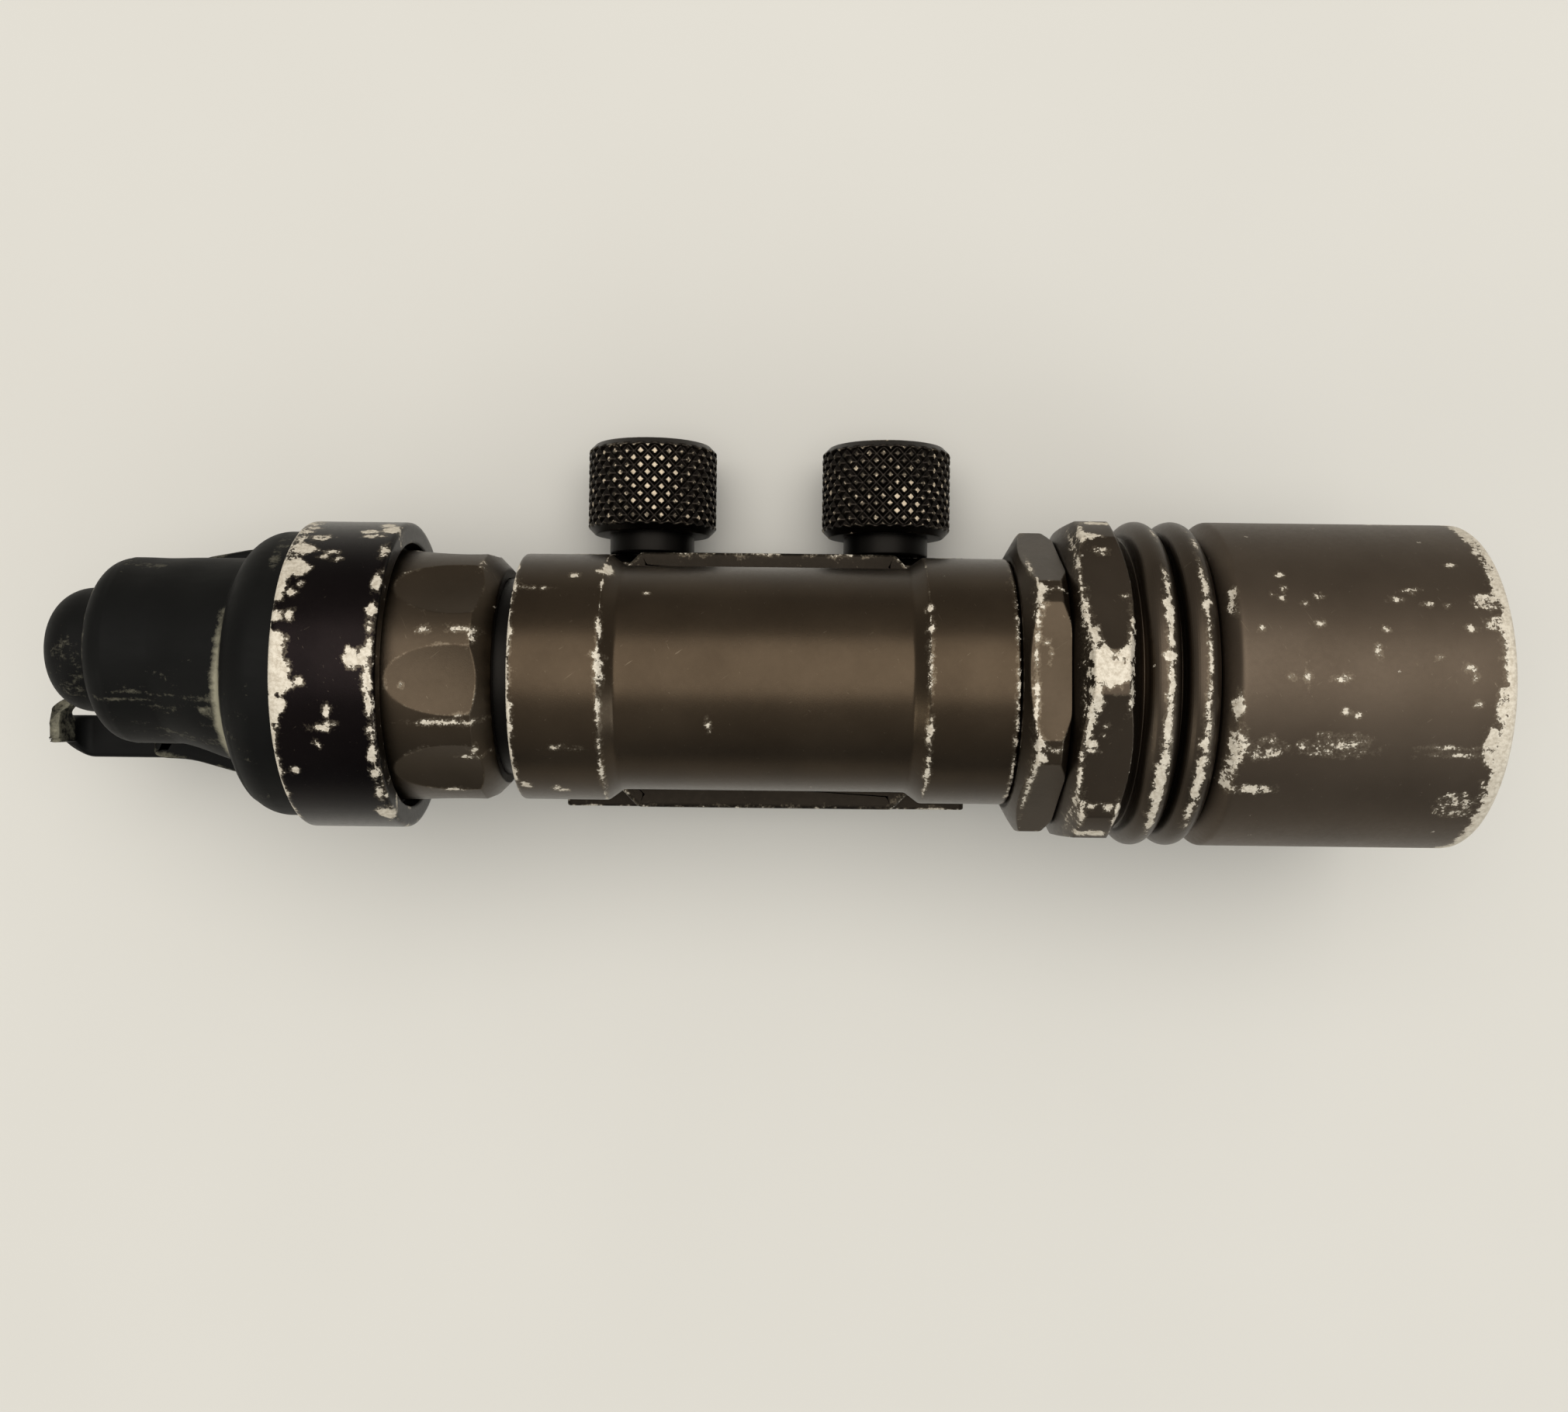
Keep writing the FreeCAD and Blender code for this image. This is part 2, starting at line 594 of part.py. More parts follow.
# ---- tail -----------------------------------------------------------------------------------
def switch_housing():
    """Flanged plug behind the cells, with an off-centre cup for the switch."""
    flange = rod(HOUSING_FLANGE_X0, HOUSING_FLANGE_X1, HOUSING_FLANGE_R)
    spigot = rod(HOUSING_FLANGE_X1 - JOIN_GAP, HOUSING_FRONT_X, HOUSING_SPIGOT_R)
    cup = rod(CUP_END_X, HOUSING_FLANGE_X0 + JOIN_GAP, CUP_OUTER_R, BOOT_Y)
    body = flange.fuse([spigot, cup])
    body = body.cut(rod(HOUSING_BORE_X, HOUSING_FRONT_X + 1, HOUSING_BORE_R))
    body = body.cut(rod(CUP_END_X - 1, SWITCH_X1, CUP_INNER_R, BOOT_Y))
    return body.cut(tube(TAIL_SEAL_X - TAIL_SEAL_HALF, TAIL_SEAL_X + TAIL_SEAL_HALF,
                         HOUSING_SPIGOT_R + 1, TAIL_SEAL_R))


def tail_boot():
    """Rubber boot: a round flange under the ring that flares into the off-centre sleeve."""
    corner = BOOT_CORNER * (1 - math.sqrt(0.5))
    flange = spin((BOOT_FRONT_X, 0), [
        (BOOT_FRONT_X, BOOT_FLANGE_R),
        (BOOT_ROUND_X, BOOT_FLANGE_R),
        round_over(BOOT_ROUND_X, BOOT_FLANGE_R, BOOT_ROUND_R, BOOT_ROUND_TURN),
        (BOOT_CONE_X, BOOT_CONE_R),
        (BOOT_CONE_X, 0),
    ])
    sleeve = spin((BOOT_FLARE_X, 0), [
        (BOOT_FLARE_X, BOOT_R),
        (BOOT_REAR_X + BOOT_CORNER, BOOT_R),
        ((BOOT_REAR_X + corner, BOOT_R - corner), (BOOT_REAR_X, BOOT_R - BOOT_CORNER)),
        (BOOT_REAR_X, 0),
    ], BOOT_Y)
    wide = Part.Wire(Part.makeCircle(BOOT_FLARE_R, V(BOOT_FLARE_X, BOOT_FLARE_Y, 0), X_AXIS))
    narrow = Part.Wire(Part.makeCircle(BOOT_R - JOIN_GAP, V(BOOT_FLARE_END_X, BOOT_Y, 0), X_AXIS))
    flare = on_beam(Part.makeLoft([wide, narrow], True))
    boot = flange.fuse(sleeve).fuse(flare)
    boot = boot.cut(rod(BOOT_BORE_X, BOOT_FRONT_X + 1, BOOT_BORE_R, BOOT_Y))
    return boot.cut(rod(BOOT_REAR_X - 1, BOOT_LIP_X, BUTTON_HOLE_R, BOOT_Y))


def button_dome():
    """Low domed pushbutton that stands out of the boot."""
    shoulder = round_over(BUTTON_DOME_X, BUTTON_R, BUTTON_CORNER, BUTTON_CORNER_TURN)
    end_x, end_r = shoulder[1]
    rise = end_x - BUTTON_TIP_X
    crown = (rise ** 2 + end_r ** 2) / (2 * rise)
    half = math.asin(end_r / crown) / 2
    top = (BUTTON_TIP_X + crown * (1 - math.cos(half)), crown * math.sin(half))
    return spin((BUTTON_BASE_X, 0), [
        (BUTTON_BASE_X, BUTTON_R),
        (BUTTON_DOME_X, BUTTON_R),
        shoulder,
        (top, (BUTTON_TIP_X, 0)),
    ], BOOT_Y)


def tether_tongue():
    """Shield-shaped plate under the boot."""
    low = TONGUE_Z - TONGUE_THICK / 2
    wire = outline_wire(TONGUE_START, TONGUE_OUTLINE, lambda x, y: V(x, y, low))
    return Part.Face(wire).extrude(V(0, 0, TONGUE_THICK))


def tether_strap():
    """The tongue with its flat strap, which turns up and curls round to a torn end."""
    low = TONGUE_Z - TONGUE_THICK / 2
    inner_x = STRAP_END_X + STRAP_THICK
    bend = STRAP_BEND_X - STRAP_END_X
    corner = bend * (1 - math.sqrt(0.5))
    inner_corner = (bend - STRAP_THICK) * (1 - math.sqrt(0.5))
    band = outline_wire((STRAP_ROOT_X, low), [
        (STRAP_BEND_X, low),
        ((STRAP_END_X + corner, low + corner), (STRAP_END_X, low + bend)),
        (STRAP_END_X, low + STRAP_RISE),
        (inner_x, low + STRAP_RISE),
        (inner_x, low + bend),
        ((inner_x + inner_corner, low + STRAP_THICK + inner_corner),
         (STRAP_BEND_X, low + STRAP_THICK)),
        (STRAP_ROOT_X, low + STRAP_THICK),
    ], lambda x, z: V(x, STRAP_Y - STRAP_WIDTH / 2, z))
    strap = Part.Face(band).extrude(V(0, STRAP_WIDTH, 0))
    root = V(CURL_X, STRAP_Y + STRAP_WIDTH / 2, low + CURL_LIFT)
    height = STRAP_RISE - CURL_LIFT
    curl = Part.makeCylinder(CURL_R, height, root, Z_AXIS, CURL_TURN)
    curl = curl.cut(Part.makeCylinder(CURL_R - STRAP_THICK, height, root))
    curl.rotate(root, Z_AXIS, 180 - CURL_TURN)
    return on_beam(tether_tongue().fuse([strap, curl])).cut(tail_boot())


def cell(x0):
    """One lithium cell with its positive nub towards the front."""
    can = rod(x0, x0 + CELL_LENGTH - CELL_NUB, CELL_R)
    nub = rod(x0 + CELL_LENGTH - CELL_NUB, x0 + CELL_LENGTH, CELL_NUB_R)
    return can.fuse(nub)


def tail_ring():
    """Turning ring that draws the tail on to the fluted collar's thread."""
    thread = THREAD_R + RUNNING_GAP
    return spin((RING_X1, RING_MOUTH_R), [
        (RING_X1, RING_R - EDGE),
        (RING_X1 - EDGE, RING_R),
        (RING_X0 + EDGE, RING_R),
        (RING_X0, RING_R - EDGE),
        (RING_X0, RING_LIP_R),
        (RING_LIP_X, RING_LIP_R),
        (RING_LIP_X, RING_GROOVE_R),
        (RING_SEAT_X, RING_GROOVE_R),
        (RING_SEAT_X, thread),
        (FLUTE_X0, thread),
        (FLUTE_X0, RING_MOUTH_R),
    ])


def plunger():
    front = SWITCH_X0 - BUTTON_STROKE - PLUNGER_ROOM
    return rod(BUTTON_BASE_X + PLUNGER_ROOM / 2, front, PLUNGER_R, BOOT_Y)


PARTS = {
    "body_tube": body_tube,
    "rear_collar": rear_collar,
    "front_collar": front_collar,
    "head_o_ring": lambda: ring_seal(HEAD_SEAL_X, NECK_R - HEAD_SEAL_WIRE - RUNNING_GAP,
                                      HEAD_SEAL_WIRE),
    "battery_rear": lambda: cell(CELL_STACK_X),
    "battery_front": lambda: cell(CELL_STACK_X + CELL_LENGTH),
    "clamp_base": clamp_base,
    "base_screws": base_screws,
    "clamp_studs": clamp_studs,
    "moving_jaw": moving_jaw,
    "jaw_springs": jaw_springs,
    "thumbscrew_front": lambda: thumbscrew(STUD_X),
    "thumbscrew_rear": lambda: thumbscrew(-STUD_X),
    "head_contact_spring": lambda: coil(HEAD_SPRING_X0, HEAD_SPRING_X1, HEAD_SPRING_R,
                                        HEAD_SPRING_WIRE, HEAD_SPRING_TURNS),
    "head_body": head_body,
    "bezel_tube": bezel_tube,
    "retaining_ring": retaining_ring,
    "window": lambda: rod(WINDOW_X0, WINDOW_X1, WINDOW_R),
    "front_gasket": lambda: tube(WINDOW_X1, RETAINER_X0, WINDOW_R, GASKET_BORE_R),
    "rear_gasket": lambda: tube(CUP_FRONT_X, WINDOW_X0, WINDOW_R, GASKET_BORE_R),
    "reflector": reflector,
    "led_emitter": led_emitter,
    "led_board": lambda: rod(PILL_X1, LAMP_BOARD_X, LAMP_BOARD_R),
    "heat_sink": lambda: rod(PILL_X0, PILL_X1, PILL_R),
    "driver_board": lambda: rod(DRIVER_X0, DRIVER_X1, DRIVER_R),
    "tail_ring": tail_ring,
    "switch_housing": switch_housing,
    "switch_board": lambda: rod(SWITCH_BOARD_X0, SWITCH_BOARD_X1, SWITCH_BOARD_R),
    "switch_module": lambda: rod(SWITCH_X0, SWITCH_X1, SWITCH_R, BOOT_Y),
    "tail_contact_spring": lambda: coil(TAIL_SPRING_X0, TAIL_SPRING_X1, TAIL_SPRING_R,
                                        TAIL_SPRING_WIRE, TAIL_SPRING_TURNS),
    "tail_o_ring": lambda: ring_seal(TAIL_SEAL_X, TAIL_SEAL_MIDDLE_R, TAIL_SEAL_WIRE),
    "tail_boot": tail_boot,
    "tether_strap": tether_strap,
    "button_dome": button_dome,
    "switch_plunger": plunger,
}

os.makedirs("parts", exist_ok=True)
for node, make in PARTS.items():
    shape = make()
    print(node, shape.isValid(), len(shape.Solids), round(shape.Volume, 1))
    shape.exportStep(f"parts/{node}.step")
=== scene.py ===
"""Looks of the rail-mounted tactical light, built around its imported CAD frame.

Shapes are given in millimetres in the part's own frame and scaled to metres when a mesh is made.
The beam axis runs along X at z = BEAM_Z.  Angles about it are measured from straight up towards
+Y, in degrees.
"""
import json
import math

import bmesh
import bpy
import numpy as np
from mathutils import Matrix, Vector


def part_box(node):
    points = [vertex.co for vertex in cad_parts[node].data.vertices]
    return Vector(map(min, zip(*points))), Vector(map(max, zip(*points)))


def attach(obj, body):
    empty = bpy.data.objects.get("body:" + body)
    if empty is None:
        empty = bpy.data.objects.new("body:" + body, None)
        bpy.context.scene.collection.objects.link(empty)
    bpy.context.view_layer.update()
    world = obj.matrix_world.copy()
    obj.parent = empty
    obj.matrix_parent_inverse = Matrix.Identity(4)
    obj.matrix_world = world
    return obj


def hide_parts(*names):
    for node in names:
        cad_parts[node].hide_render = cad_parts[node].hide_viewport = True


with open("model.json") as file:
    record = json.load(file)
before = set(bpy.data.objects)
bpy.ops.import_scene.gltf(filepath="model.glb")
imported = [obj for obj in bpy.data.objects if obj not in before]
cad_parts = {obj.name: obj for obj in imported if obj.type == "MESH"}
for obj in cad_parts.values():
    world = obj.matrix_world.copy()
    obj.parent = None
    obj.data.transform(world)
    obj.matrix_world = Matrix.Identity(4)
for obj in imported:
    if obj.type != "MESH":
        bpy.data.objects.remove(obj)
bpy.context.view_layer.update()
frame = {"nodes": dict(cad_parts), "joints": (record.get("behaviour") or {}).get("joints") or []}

MM = 0.001
JOINTS = {joint["name"]: joint for joint in frame["joints"]}
BEAM_Z = JOINTS["head_turn"]["pos_m"][2] / MM
STUD_Z = JOINTS["front_screw_turn"]["pos_m"][2] / MM
SEED = 7


def span(node, axis=0):
    """A CAD node's lowest and highest coordinates on an axis, in millimetres."""
    return [corner[axis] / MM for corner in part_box(node)]


FLOOR_Z = span("clamp_base", 2)[0]

# ---- driving sizes, in millimetres ----
LAP = 0.1                # how far pieces that meet out of sight run into each other
BORE_R = 8.8
BODY_R = 14.2
BODY_HALF = 27.65
RECESS_R = 12.95
RECESS_HALF = 16.2
RECESS_STEP = 1.7
NECK_R = 11.3
NECK_FIT = 0.02
THREAD_PITCH = 1.0
THREAD_START = 1.5       # from a threaded end to its first groove
COLLAR_FRONT_X = 33.5
FLANGE_HALF_X = 18.7
FLANGE_BEVEL = 3.0
FLANGE_LOW = 3.6
FLANGE_TOP = 7.6
WEB_HALF_X = 15.9
WEB_HALF_Y = 7.6
WEB_Z = (6.0, 9.0)
HEAD_R = 18.65
HEX_R = 19.15
HEX_FLATS = 35.3
HEX_TURN = 32.5
HEX_END_X = 39.6
HEX_X = (34.4, 38.05)    # between these the hexagon is at its full radius
HEX_END_R = 16.8
HEAD_REAR_R = 16.2
HEAD_NECK_R = 11.36
HEAD_BORE_X = 41.8
SPIGOT_X = 44.0
SPIGOT_R = 15.5
PILL_R = 13.6
BEZEL_BORE_R = 16.9
BEZEL_BORE_X = 53.5
BEZEL_RIM = 1.7          # radius of the rim's outer edge
COLLAR_R = 17.3
COLLAR_BEVEL = (1.5, 0.9)
COLLAR_FLATS = 31.3
COLLAR_TURN = 3.4
FIN_X = (42.1, 46.2)
FIN_CREST_R = 1.85
VALLEY_R = 16.5
SHOULDER_X = 49.9
HEAD_JOIN_X = 48.3
GASKET_R = 15.4
CUP_R = (3.5, 15.2)      # the reflector's throat and mouth
CUP_LIP_R = 16.6
CUP_LIP = 0.8
CUP_WALL = 0.9
RING_R = 17.6
RING_MOUTH_R = 15.2
RING_THREAD_R = 14.7
RING_SEAT_X = -49.4
RING_GROOVE_R = 16.95
RING_LIP_X = -51.12
RING_LIP_R = 16.5
REAR_THREAD_R = 14.55
REAR_THREAD_X = -42.7    # where the flutes end and the thread starts
FLUTE_LAND_R = 14.4
FLUTE_FLOOR = 13.62
FLUTE_HOLLOW_R = 28.0
FLUTE_DEEP_X = -33.6
FLUTE_RUN = 6.9
FLUTE_TURN = -3.0
FLUTE_COUNT = 8
BOOT_Y = 2.5
BOOT_R = 10.7
BOOT_FLANGE_R = 16.4
BOOT_CORNER = 2.9
BUTTON_R = 7.2
BUTTON_HOLE_R = 7.5
BUTTON_DOME_X = -77.6
BUTTON_CORNER = 4.5
BUTTON_TURN = 66
FLANGE_BACK_X = -54.3    # where the boot's flange starts to round over
FLANGE_BEND_R = 4.4
FLANGE_TURN = 64
FLANGE_CONE = 2.03       # slope of the cone behind it
FLARE_X = -58.0
FLARE_Y = 1.04
FLARE_R = 12.16
FLARE_DROP = 1.48
FLARE_RUN = 9.5
TONGUE_THICK = 1.7
STRAP_LOW = BEAM_Z - 12.6 - TONGUE_THICK / 2
STRAP_Y = -7.85
STRAP_WIDTH = 5.2
STRAP_THICK = 1.45
STRAP_ROOT_X = -72.0
STRAP_BEND_X = -83.6
STRAP_BEND_R = 2.15
STRAP_UP = 4.4
CURL_BEND_R = 1.55
CURL_REACH = 2.3
THUMB_R = 8.2
THUMB_BEVEL = 0.9
THUMB_NECK_R = 5.4
THUMB_NECK = 2.5         # length of the neck
THUMB_DISH_R = 5.2
THUMB_DISH = 0.5
STUD_R = 2.5
KNURL_PITCH = 1.77
KNURL_DEPTH = 0.5
STUD_THREAD = 0.8
RAIL_HALF_TOP = 7.9
RAIL_HALF_WIDE = 10.7
RAIL_WIDE_Z = (-2.8, -3.9)
RAIL_HALF_NECK = 8.3
RAIL_NECK_Z = -6.3
JAW_STEP_Y = 8.5
JAW_STEP_Z = -0.6
JAW_EDGE = 1.5
JAW_TOP_EDGE = 1.2


# ---- mesh tools ----
def rounded(points, radius, worn_and_sheen):
    """A closed outline with a small curve at each corner, and how worn each convex corner is.

    A point is (x, r), (x, r, its own corner radius) or (x, r, radius, its own wear).  The outline
    runs with its solid on the right.
    """
    path, corners, steps = [], [], 4
    count = len(points)
    for i in range(count):
        before, here, after = (np.array(points[(i + k) % count][:2], float) for k in (-1, 0, 1))
        own = points[i][2] if len(points[i]) > 2 else radius
        wear_and_sheen = points[i][3] if len(points[i]) > 3 else worn_and_sheen
        back, ahead = before - here, after - here
        reach = min(own, 0.48 * np.linalg.norm(back), 0.48 * np.linalg.norm(ahead))
        start = here + back / np.linalg.norm(back) * reach
        end = here + ahead / np.linalg.norm(ahead) * reach
        turn = back[0] * ahead[1] - back[1] * ahead[0]
        sharp = turn > 0.25 * np.linalg.norm(back) * np.linalg.norm(ahead)
        for k in range(steps + 1):
            t = k / steps
            path.append((1 - t) ** 2 * start + 2 * t * (1 - t) * here + t * t * end)
            corners.append(wear_and_sheen if sharp and k == steps // 2 else 0.0)
    return path, corners


def finer(path, corners, step):
    """The outline with long stretches divided, and its worn corners: (place along it, wear)."""
    points = []
    marks = []
    for i, here in enumerate(path):
        ahead = path[(i + 1) % len(path)]
        length = np.linalg.norm(ahead - here)
        pieces = max(1, math.ceil(length / step))
        for k in range(pieces):
            points.append(here + (ahead - here) * k / pieces)
            marks.append(corners[i] if k == 0 else 0.0)
    points = np.array(points)
    hops = np.linalg.norm(np.roll(points, -1, axis=0) - points, axis=1)
    along = np.concatenate([[0], np.cumsum(hops)[:-1]])
    return points, along, [(along[i], marks[i]) for i in np.flatnonzero(marks)]


def placed(name, data):
    """A new object in the scene."""
    thing = bpy.data.objects.new(name, data)
    bpy.context.scene.collection.objects.link(thing)
    return thing


def grid_mesh(name, xyz, wear_and_sheen, capped=False):
    """A mesh from a grid of points in millimetres, closed round its columns, and its rows or ends."""
    rows, columns = xyz.shape[:2]
    index = np.arange(rows * columns).reshape(rows, columns)
    nearer = index[:-1] if capped else index
    further = index[1:] if capped else np.roll(index, -1, axis=0)
    quads = np.stack([nearer, np.roll(nearer, -1, axis=1),
                      np.roll(further, -1, axis=1), further], axis=-1).reshape(-1, 4)
    faces = quads.tolist()
    if capped:
        faces.append(index[0].tolist())
        faces.append(index[-1][::-1].tolist())
    mesh = bpy.data.meshes.new(name)
    mesh.from_pydata((xyz.reshape(-1, 3) * MM).tolist(), [], faces)
    # this mark holds real wear, and on the knobs, boot, tongue and strap also painted sheen and highlights
    attribute = mesh.attributes.new("wear_and_sheen", "FLOAT", "POINT")
    attribute.data.foreach_set("value", np.broadcast_to(wear_and_sheen, (rows, columns)).ravel())
    work = bmesh.new()
    work.from_mesh(mesh)
    bmesh.ops.remove_doubles(work, verts=work.verts, dist=1e-7)
    bmesh.ops.recalc_face_normals(work, faces=work.faces)
    work.to_mesh(mesh)
    work.free()
    mesh.shade_smooth()
    return placed(name, mesh)


def soft_min(a, b, blend):
    """The smaller of two values, with a short round join of the given size."""
    share = np.clip(0.5 + 0.5 * (b - a) / blend, 0, 1)
    return b * (1 - share) + a * share - blend * share * (1 - share)


def soft_max(a, b, blend):
    return -soft_min(-a, -b, blend)


def near(distance, width):
    """1 on an edge, falling away over the width."""
    return np.exp(-(distance / width) ** 2)


def wobble(xyz, size, seed=0):
    """Smooth irregular values between about -1 and 1, with features of the given size in mm."""
    rng = np.random.default_rng(SEED + seed)
    total = 0
    for k in range(9):
        wave = rng.normal(size=3)
        wave *= 2 * math.pi / (np.linalg.norm(wave) * size * rng.uniform(0.7, 2.2))
        total = total + np.sin(xyz @ wave + rng.uniform(0, 2 * math.pi))
    return total / 3.4


def patches(x, angle, radius, xyz, spots):
    """Wear from listed patches, 0.5 along a patch's ragged border.

    A patch is (x, angle, half length, half angle) and, where it is only partly bare, its peak.
    """
    ragged = wobble(xyz, 1.3) * 0.5 + wobble(xyz, 0.6, 3) * 0.35
    total = np.zeros(np.broadcast(x, angle).shape)
    for spot_x, spot_angle, half_x, half_angle, *peak in spots:
        turn = (angle - spot_angle + 180) % 360 - 180
        reach = np.sqrt(((x - spot_x) / half_x) ** 2 + (turn / half_angle) ** 2)
        small = min(half_x, radius * math.radians(half_angle))
        inside = (1 - reach) * small + 0.45 * min(small, 1.2) * ragged
        total = np.maximum(total, np.clip(0.5 + 0.8 * inside, 0, peak[0] if peak else 1))
    return total


def beam_place(x, r, angle, y=0.0):
    """Points at a radius and an angle about the beam axis, or a line beside it."""
    turn = np.radians(angle)
    return np.stack(np.broadcast_arrays(x, y + r * np.sin(turn), BEAM_Z + r * np.cos(turn)), -1)


def stud_place(name):
    """Places points about the rear or the front stud."""
    stud_x = JOINTS[f"{name}_screw_turn"]["pos_m"][0] / MM

    def place(y, r, angle):
        turn = np.radians(angle)
        return np.stack(np.broadcast_arrays(
            stud_x + r * np.sin(turn), y, STUD_Z + r * np.cos(turn)), -1)
    return place


def turned(name, outline, edge=0.2, step=0.5, sides=360, limit=None, relief=None, worn_and_sheen=0.5,
           edge_width=0.22, flat_worn=0.6, flat_blend=0.12, spots=(), place=beam_place):
    """A lathe-turned piece from a closed (x, r) outline, its edges rounded and marked for wear.

    limit(x, angle) caps the radius, as flats do, and relief(x, angle, r) cuts into the surface
    and says how worn it is there; on the knurled knobs that mark also holds a painted highlight.
    """
    points, along, marks = finer(*rounded(outline, edge, worn_and_sheen), step)
    x = points[:, 0][:, None]
    r = np.maximum(points[:, 1][:, None], 0)
    angle = np.linspace(0, 360, sides, endpoint=False)[None, :]
    xyz = place(x, r, angle)
    swell = wobble(xyz, 3.2, 11)
    wear_and_sheen = np.zeros(swell.shape)
    for where, strength in marks:
        width = edge_width * np.clip(1 + 0.9 * swell, 0.25, 2.4)
        wear_and_sheen = np.maximum(wear_and_sheen, (strength + 0.12 * swell) * near(
            np.abs(along - where)[:, None], width))
    radius = np.broadcast_to(r, wear_and_sheen.shape).copy()
    if limit is not None:
        cap = limit(x, angle)
        near_flat = near(r - cap, 0.07 * np.clip(1 + swell, 0.3, 2.5)) * (r > 0)
        wear_and_sheen = np.maximum(wear_and_sheen * (r < cap + 0.4), (flat_worn + 0.12 * swell) * near_flat)
        radius = soft_min(radius, cap, flat_blend)
    if relief is not None:
        cut, rubbed_and_sheen = relief(x, angle, r)
        radius = radius - cut
        wear_and_sheen = np.maximum(wear_and_sheen, rubbed_and_sheen)
    wear_and_sheen = np.maximum(wear_and_sheen, patches(x, angle, np.max(r), xyz, spots))
    return grid_mesh(name, place(x, radius, angle), np.clip(wear_and_sheen, 0, 1))


def pipe(start, end, inner, outer):
    """The outline of a plain tube or rod."""
    return [(start, inner), (start, outer), (end, outer), (end, inner)]


def polygon(sides, across, turn):
    """The distance from the axis to a polygon's flats at each angle."""
    def distance(x, angle):
        part = 360 / sides
        offset = (angle - turn + part / 2) % part - part / 2
        return across / 2 / np.cos(np.radians(offset)) + 0 * x
    return distance


def slab(name, outline, bottom, top, place, corner=0.4, edge=0.25, worn_and_sheen=0.5, step=1.0):
    """A flat-sided block: a closed outline pushed from bottom to top, with all edges rounded."""
    points, along, marks = finer(*rounded(outline, corner, worn_and_sheen), step)
    tangent = np.roll(points, -1, axis=0) - np.roll(points, 1, axis=0)
    tangent /= np.linalg.norm(tangent, axis=1)[:, None]
    area = np.sum(points[:, 0] * np.roll(points[:, 1], -1) - np.roll(points[:, 0], -1) * points[:, 1])
    inward = np.stack([-tangent[:, 1], tangent[:, 0]], -1) * np.sign(area)
    corners = np.zeros(len(points))
    for where, strength in marks:
        corners = np.maximum(corners, strength * near(np.abs(along - where), 0.22))
    fade = edge + 0.35
    rise = [(fade + 1.0, 0.0, 0.0), (fade, 0.0, 0.1), (edge, 0.0, 0.6),
            (0.29 * edge, 0.29 * edge, 1.0), (0.0, edge, 0.6), (0.0, fade, 0.1)]
    levels = np.linspace(bottom + fade, top - fade, max(2, math.ceil((top - bottom) / step)))[1:-1]
    rows = [(inset, bottom + up, rub_and_sheen) for inset, up, rub_and_sheen in rise]
    rows += [(0.0, height, 0.0) for height in levels]
    rows += [(inset, top - up, rub_and_sheen) for inset, up, rub_and_sheen in reversed(rise)]
    xyz = []
    wear_and_sheen = []
    for inset, height, rub_and_sheen in rows:
        ring = points + inward * inset
        xyz.append(place(ring[:, 0], ring[:, 1], np.full(len(ring), height)))
        wear_and_sheen.append(np.maximum(worn_and_sheen * rub_and_sheen, corners * (inset < fade)))
    xyz = np.array(xyz)
    wear_and_sheen = np.array(wear_and_sheen)
    wear_and_sheen = wear_and_sheen + 0.14 * wobble(xyz, 3.0, 5) * (wear_and_sheen > 0.02)
    return grid_mesh(name, xyz, np.clip(wear_and_sheen, 0, 1), capped=True)


def along_x(y, z, x):
    """Places a (y, z) section at x."""
    return np.stack([x, y, z], -1)


def level(x, y, z):
    """Places an (x, y) outline at height z."""
    return np.stack([x, y, z], -1)


# ---- materials ----
class Nodes:
    """A node tree, with a short call for each kind of step."""

    def __init__(self, tree):
        self.tree = tree

    def put(self, socket, value):
        if isinstance(value, bpy.types.NodeSocket):
            self.tree.links.new(value, socket)
        else:
            socket.default_value = value

    def add(self, kind, inputs, output=0, **settings):
        node = self.tree.nodes.new(kind)
        for key, value in settings.items():
            setattr(node, key, value)
        for key, value in inputs.items():
            self.put(node.inputs[key], value)
        return node.outputs[output]

    def math(self, operation, a, b=0.0, c=0.0):
        return self.add("ShaderNodeMath", {0: a, 1: b, 2: c}, operation=operation)

    def times(self, a, b, plus=None):
        if plus is None:
            return self.math("MULTIPLY", a, b)
        return self.math("MULTIPLY_ADD", a, b, plus)

    def step(self, value, start, end, out_start=0.0, out_end=1.0):
        return self.add("ShaderNodeMapRange", {
            "Value": value, "From Min": start, "From Max": end,
            "To Min": out_start, "To Max": out_end})

    def mix(self, share, a, b):
        return self.add("ShaderNodeMix", {"Factor": share, "A": a, "B": b}, "Result",
                        data_type="RGBA")


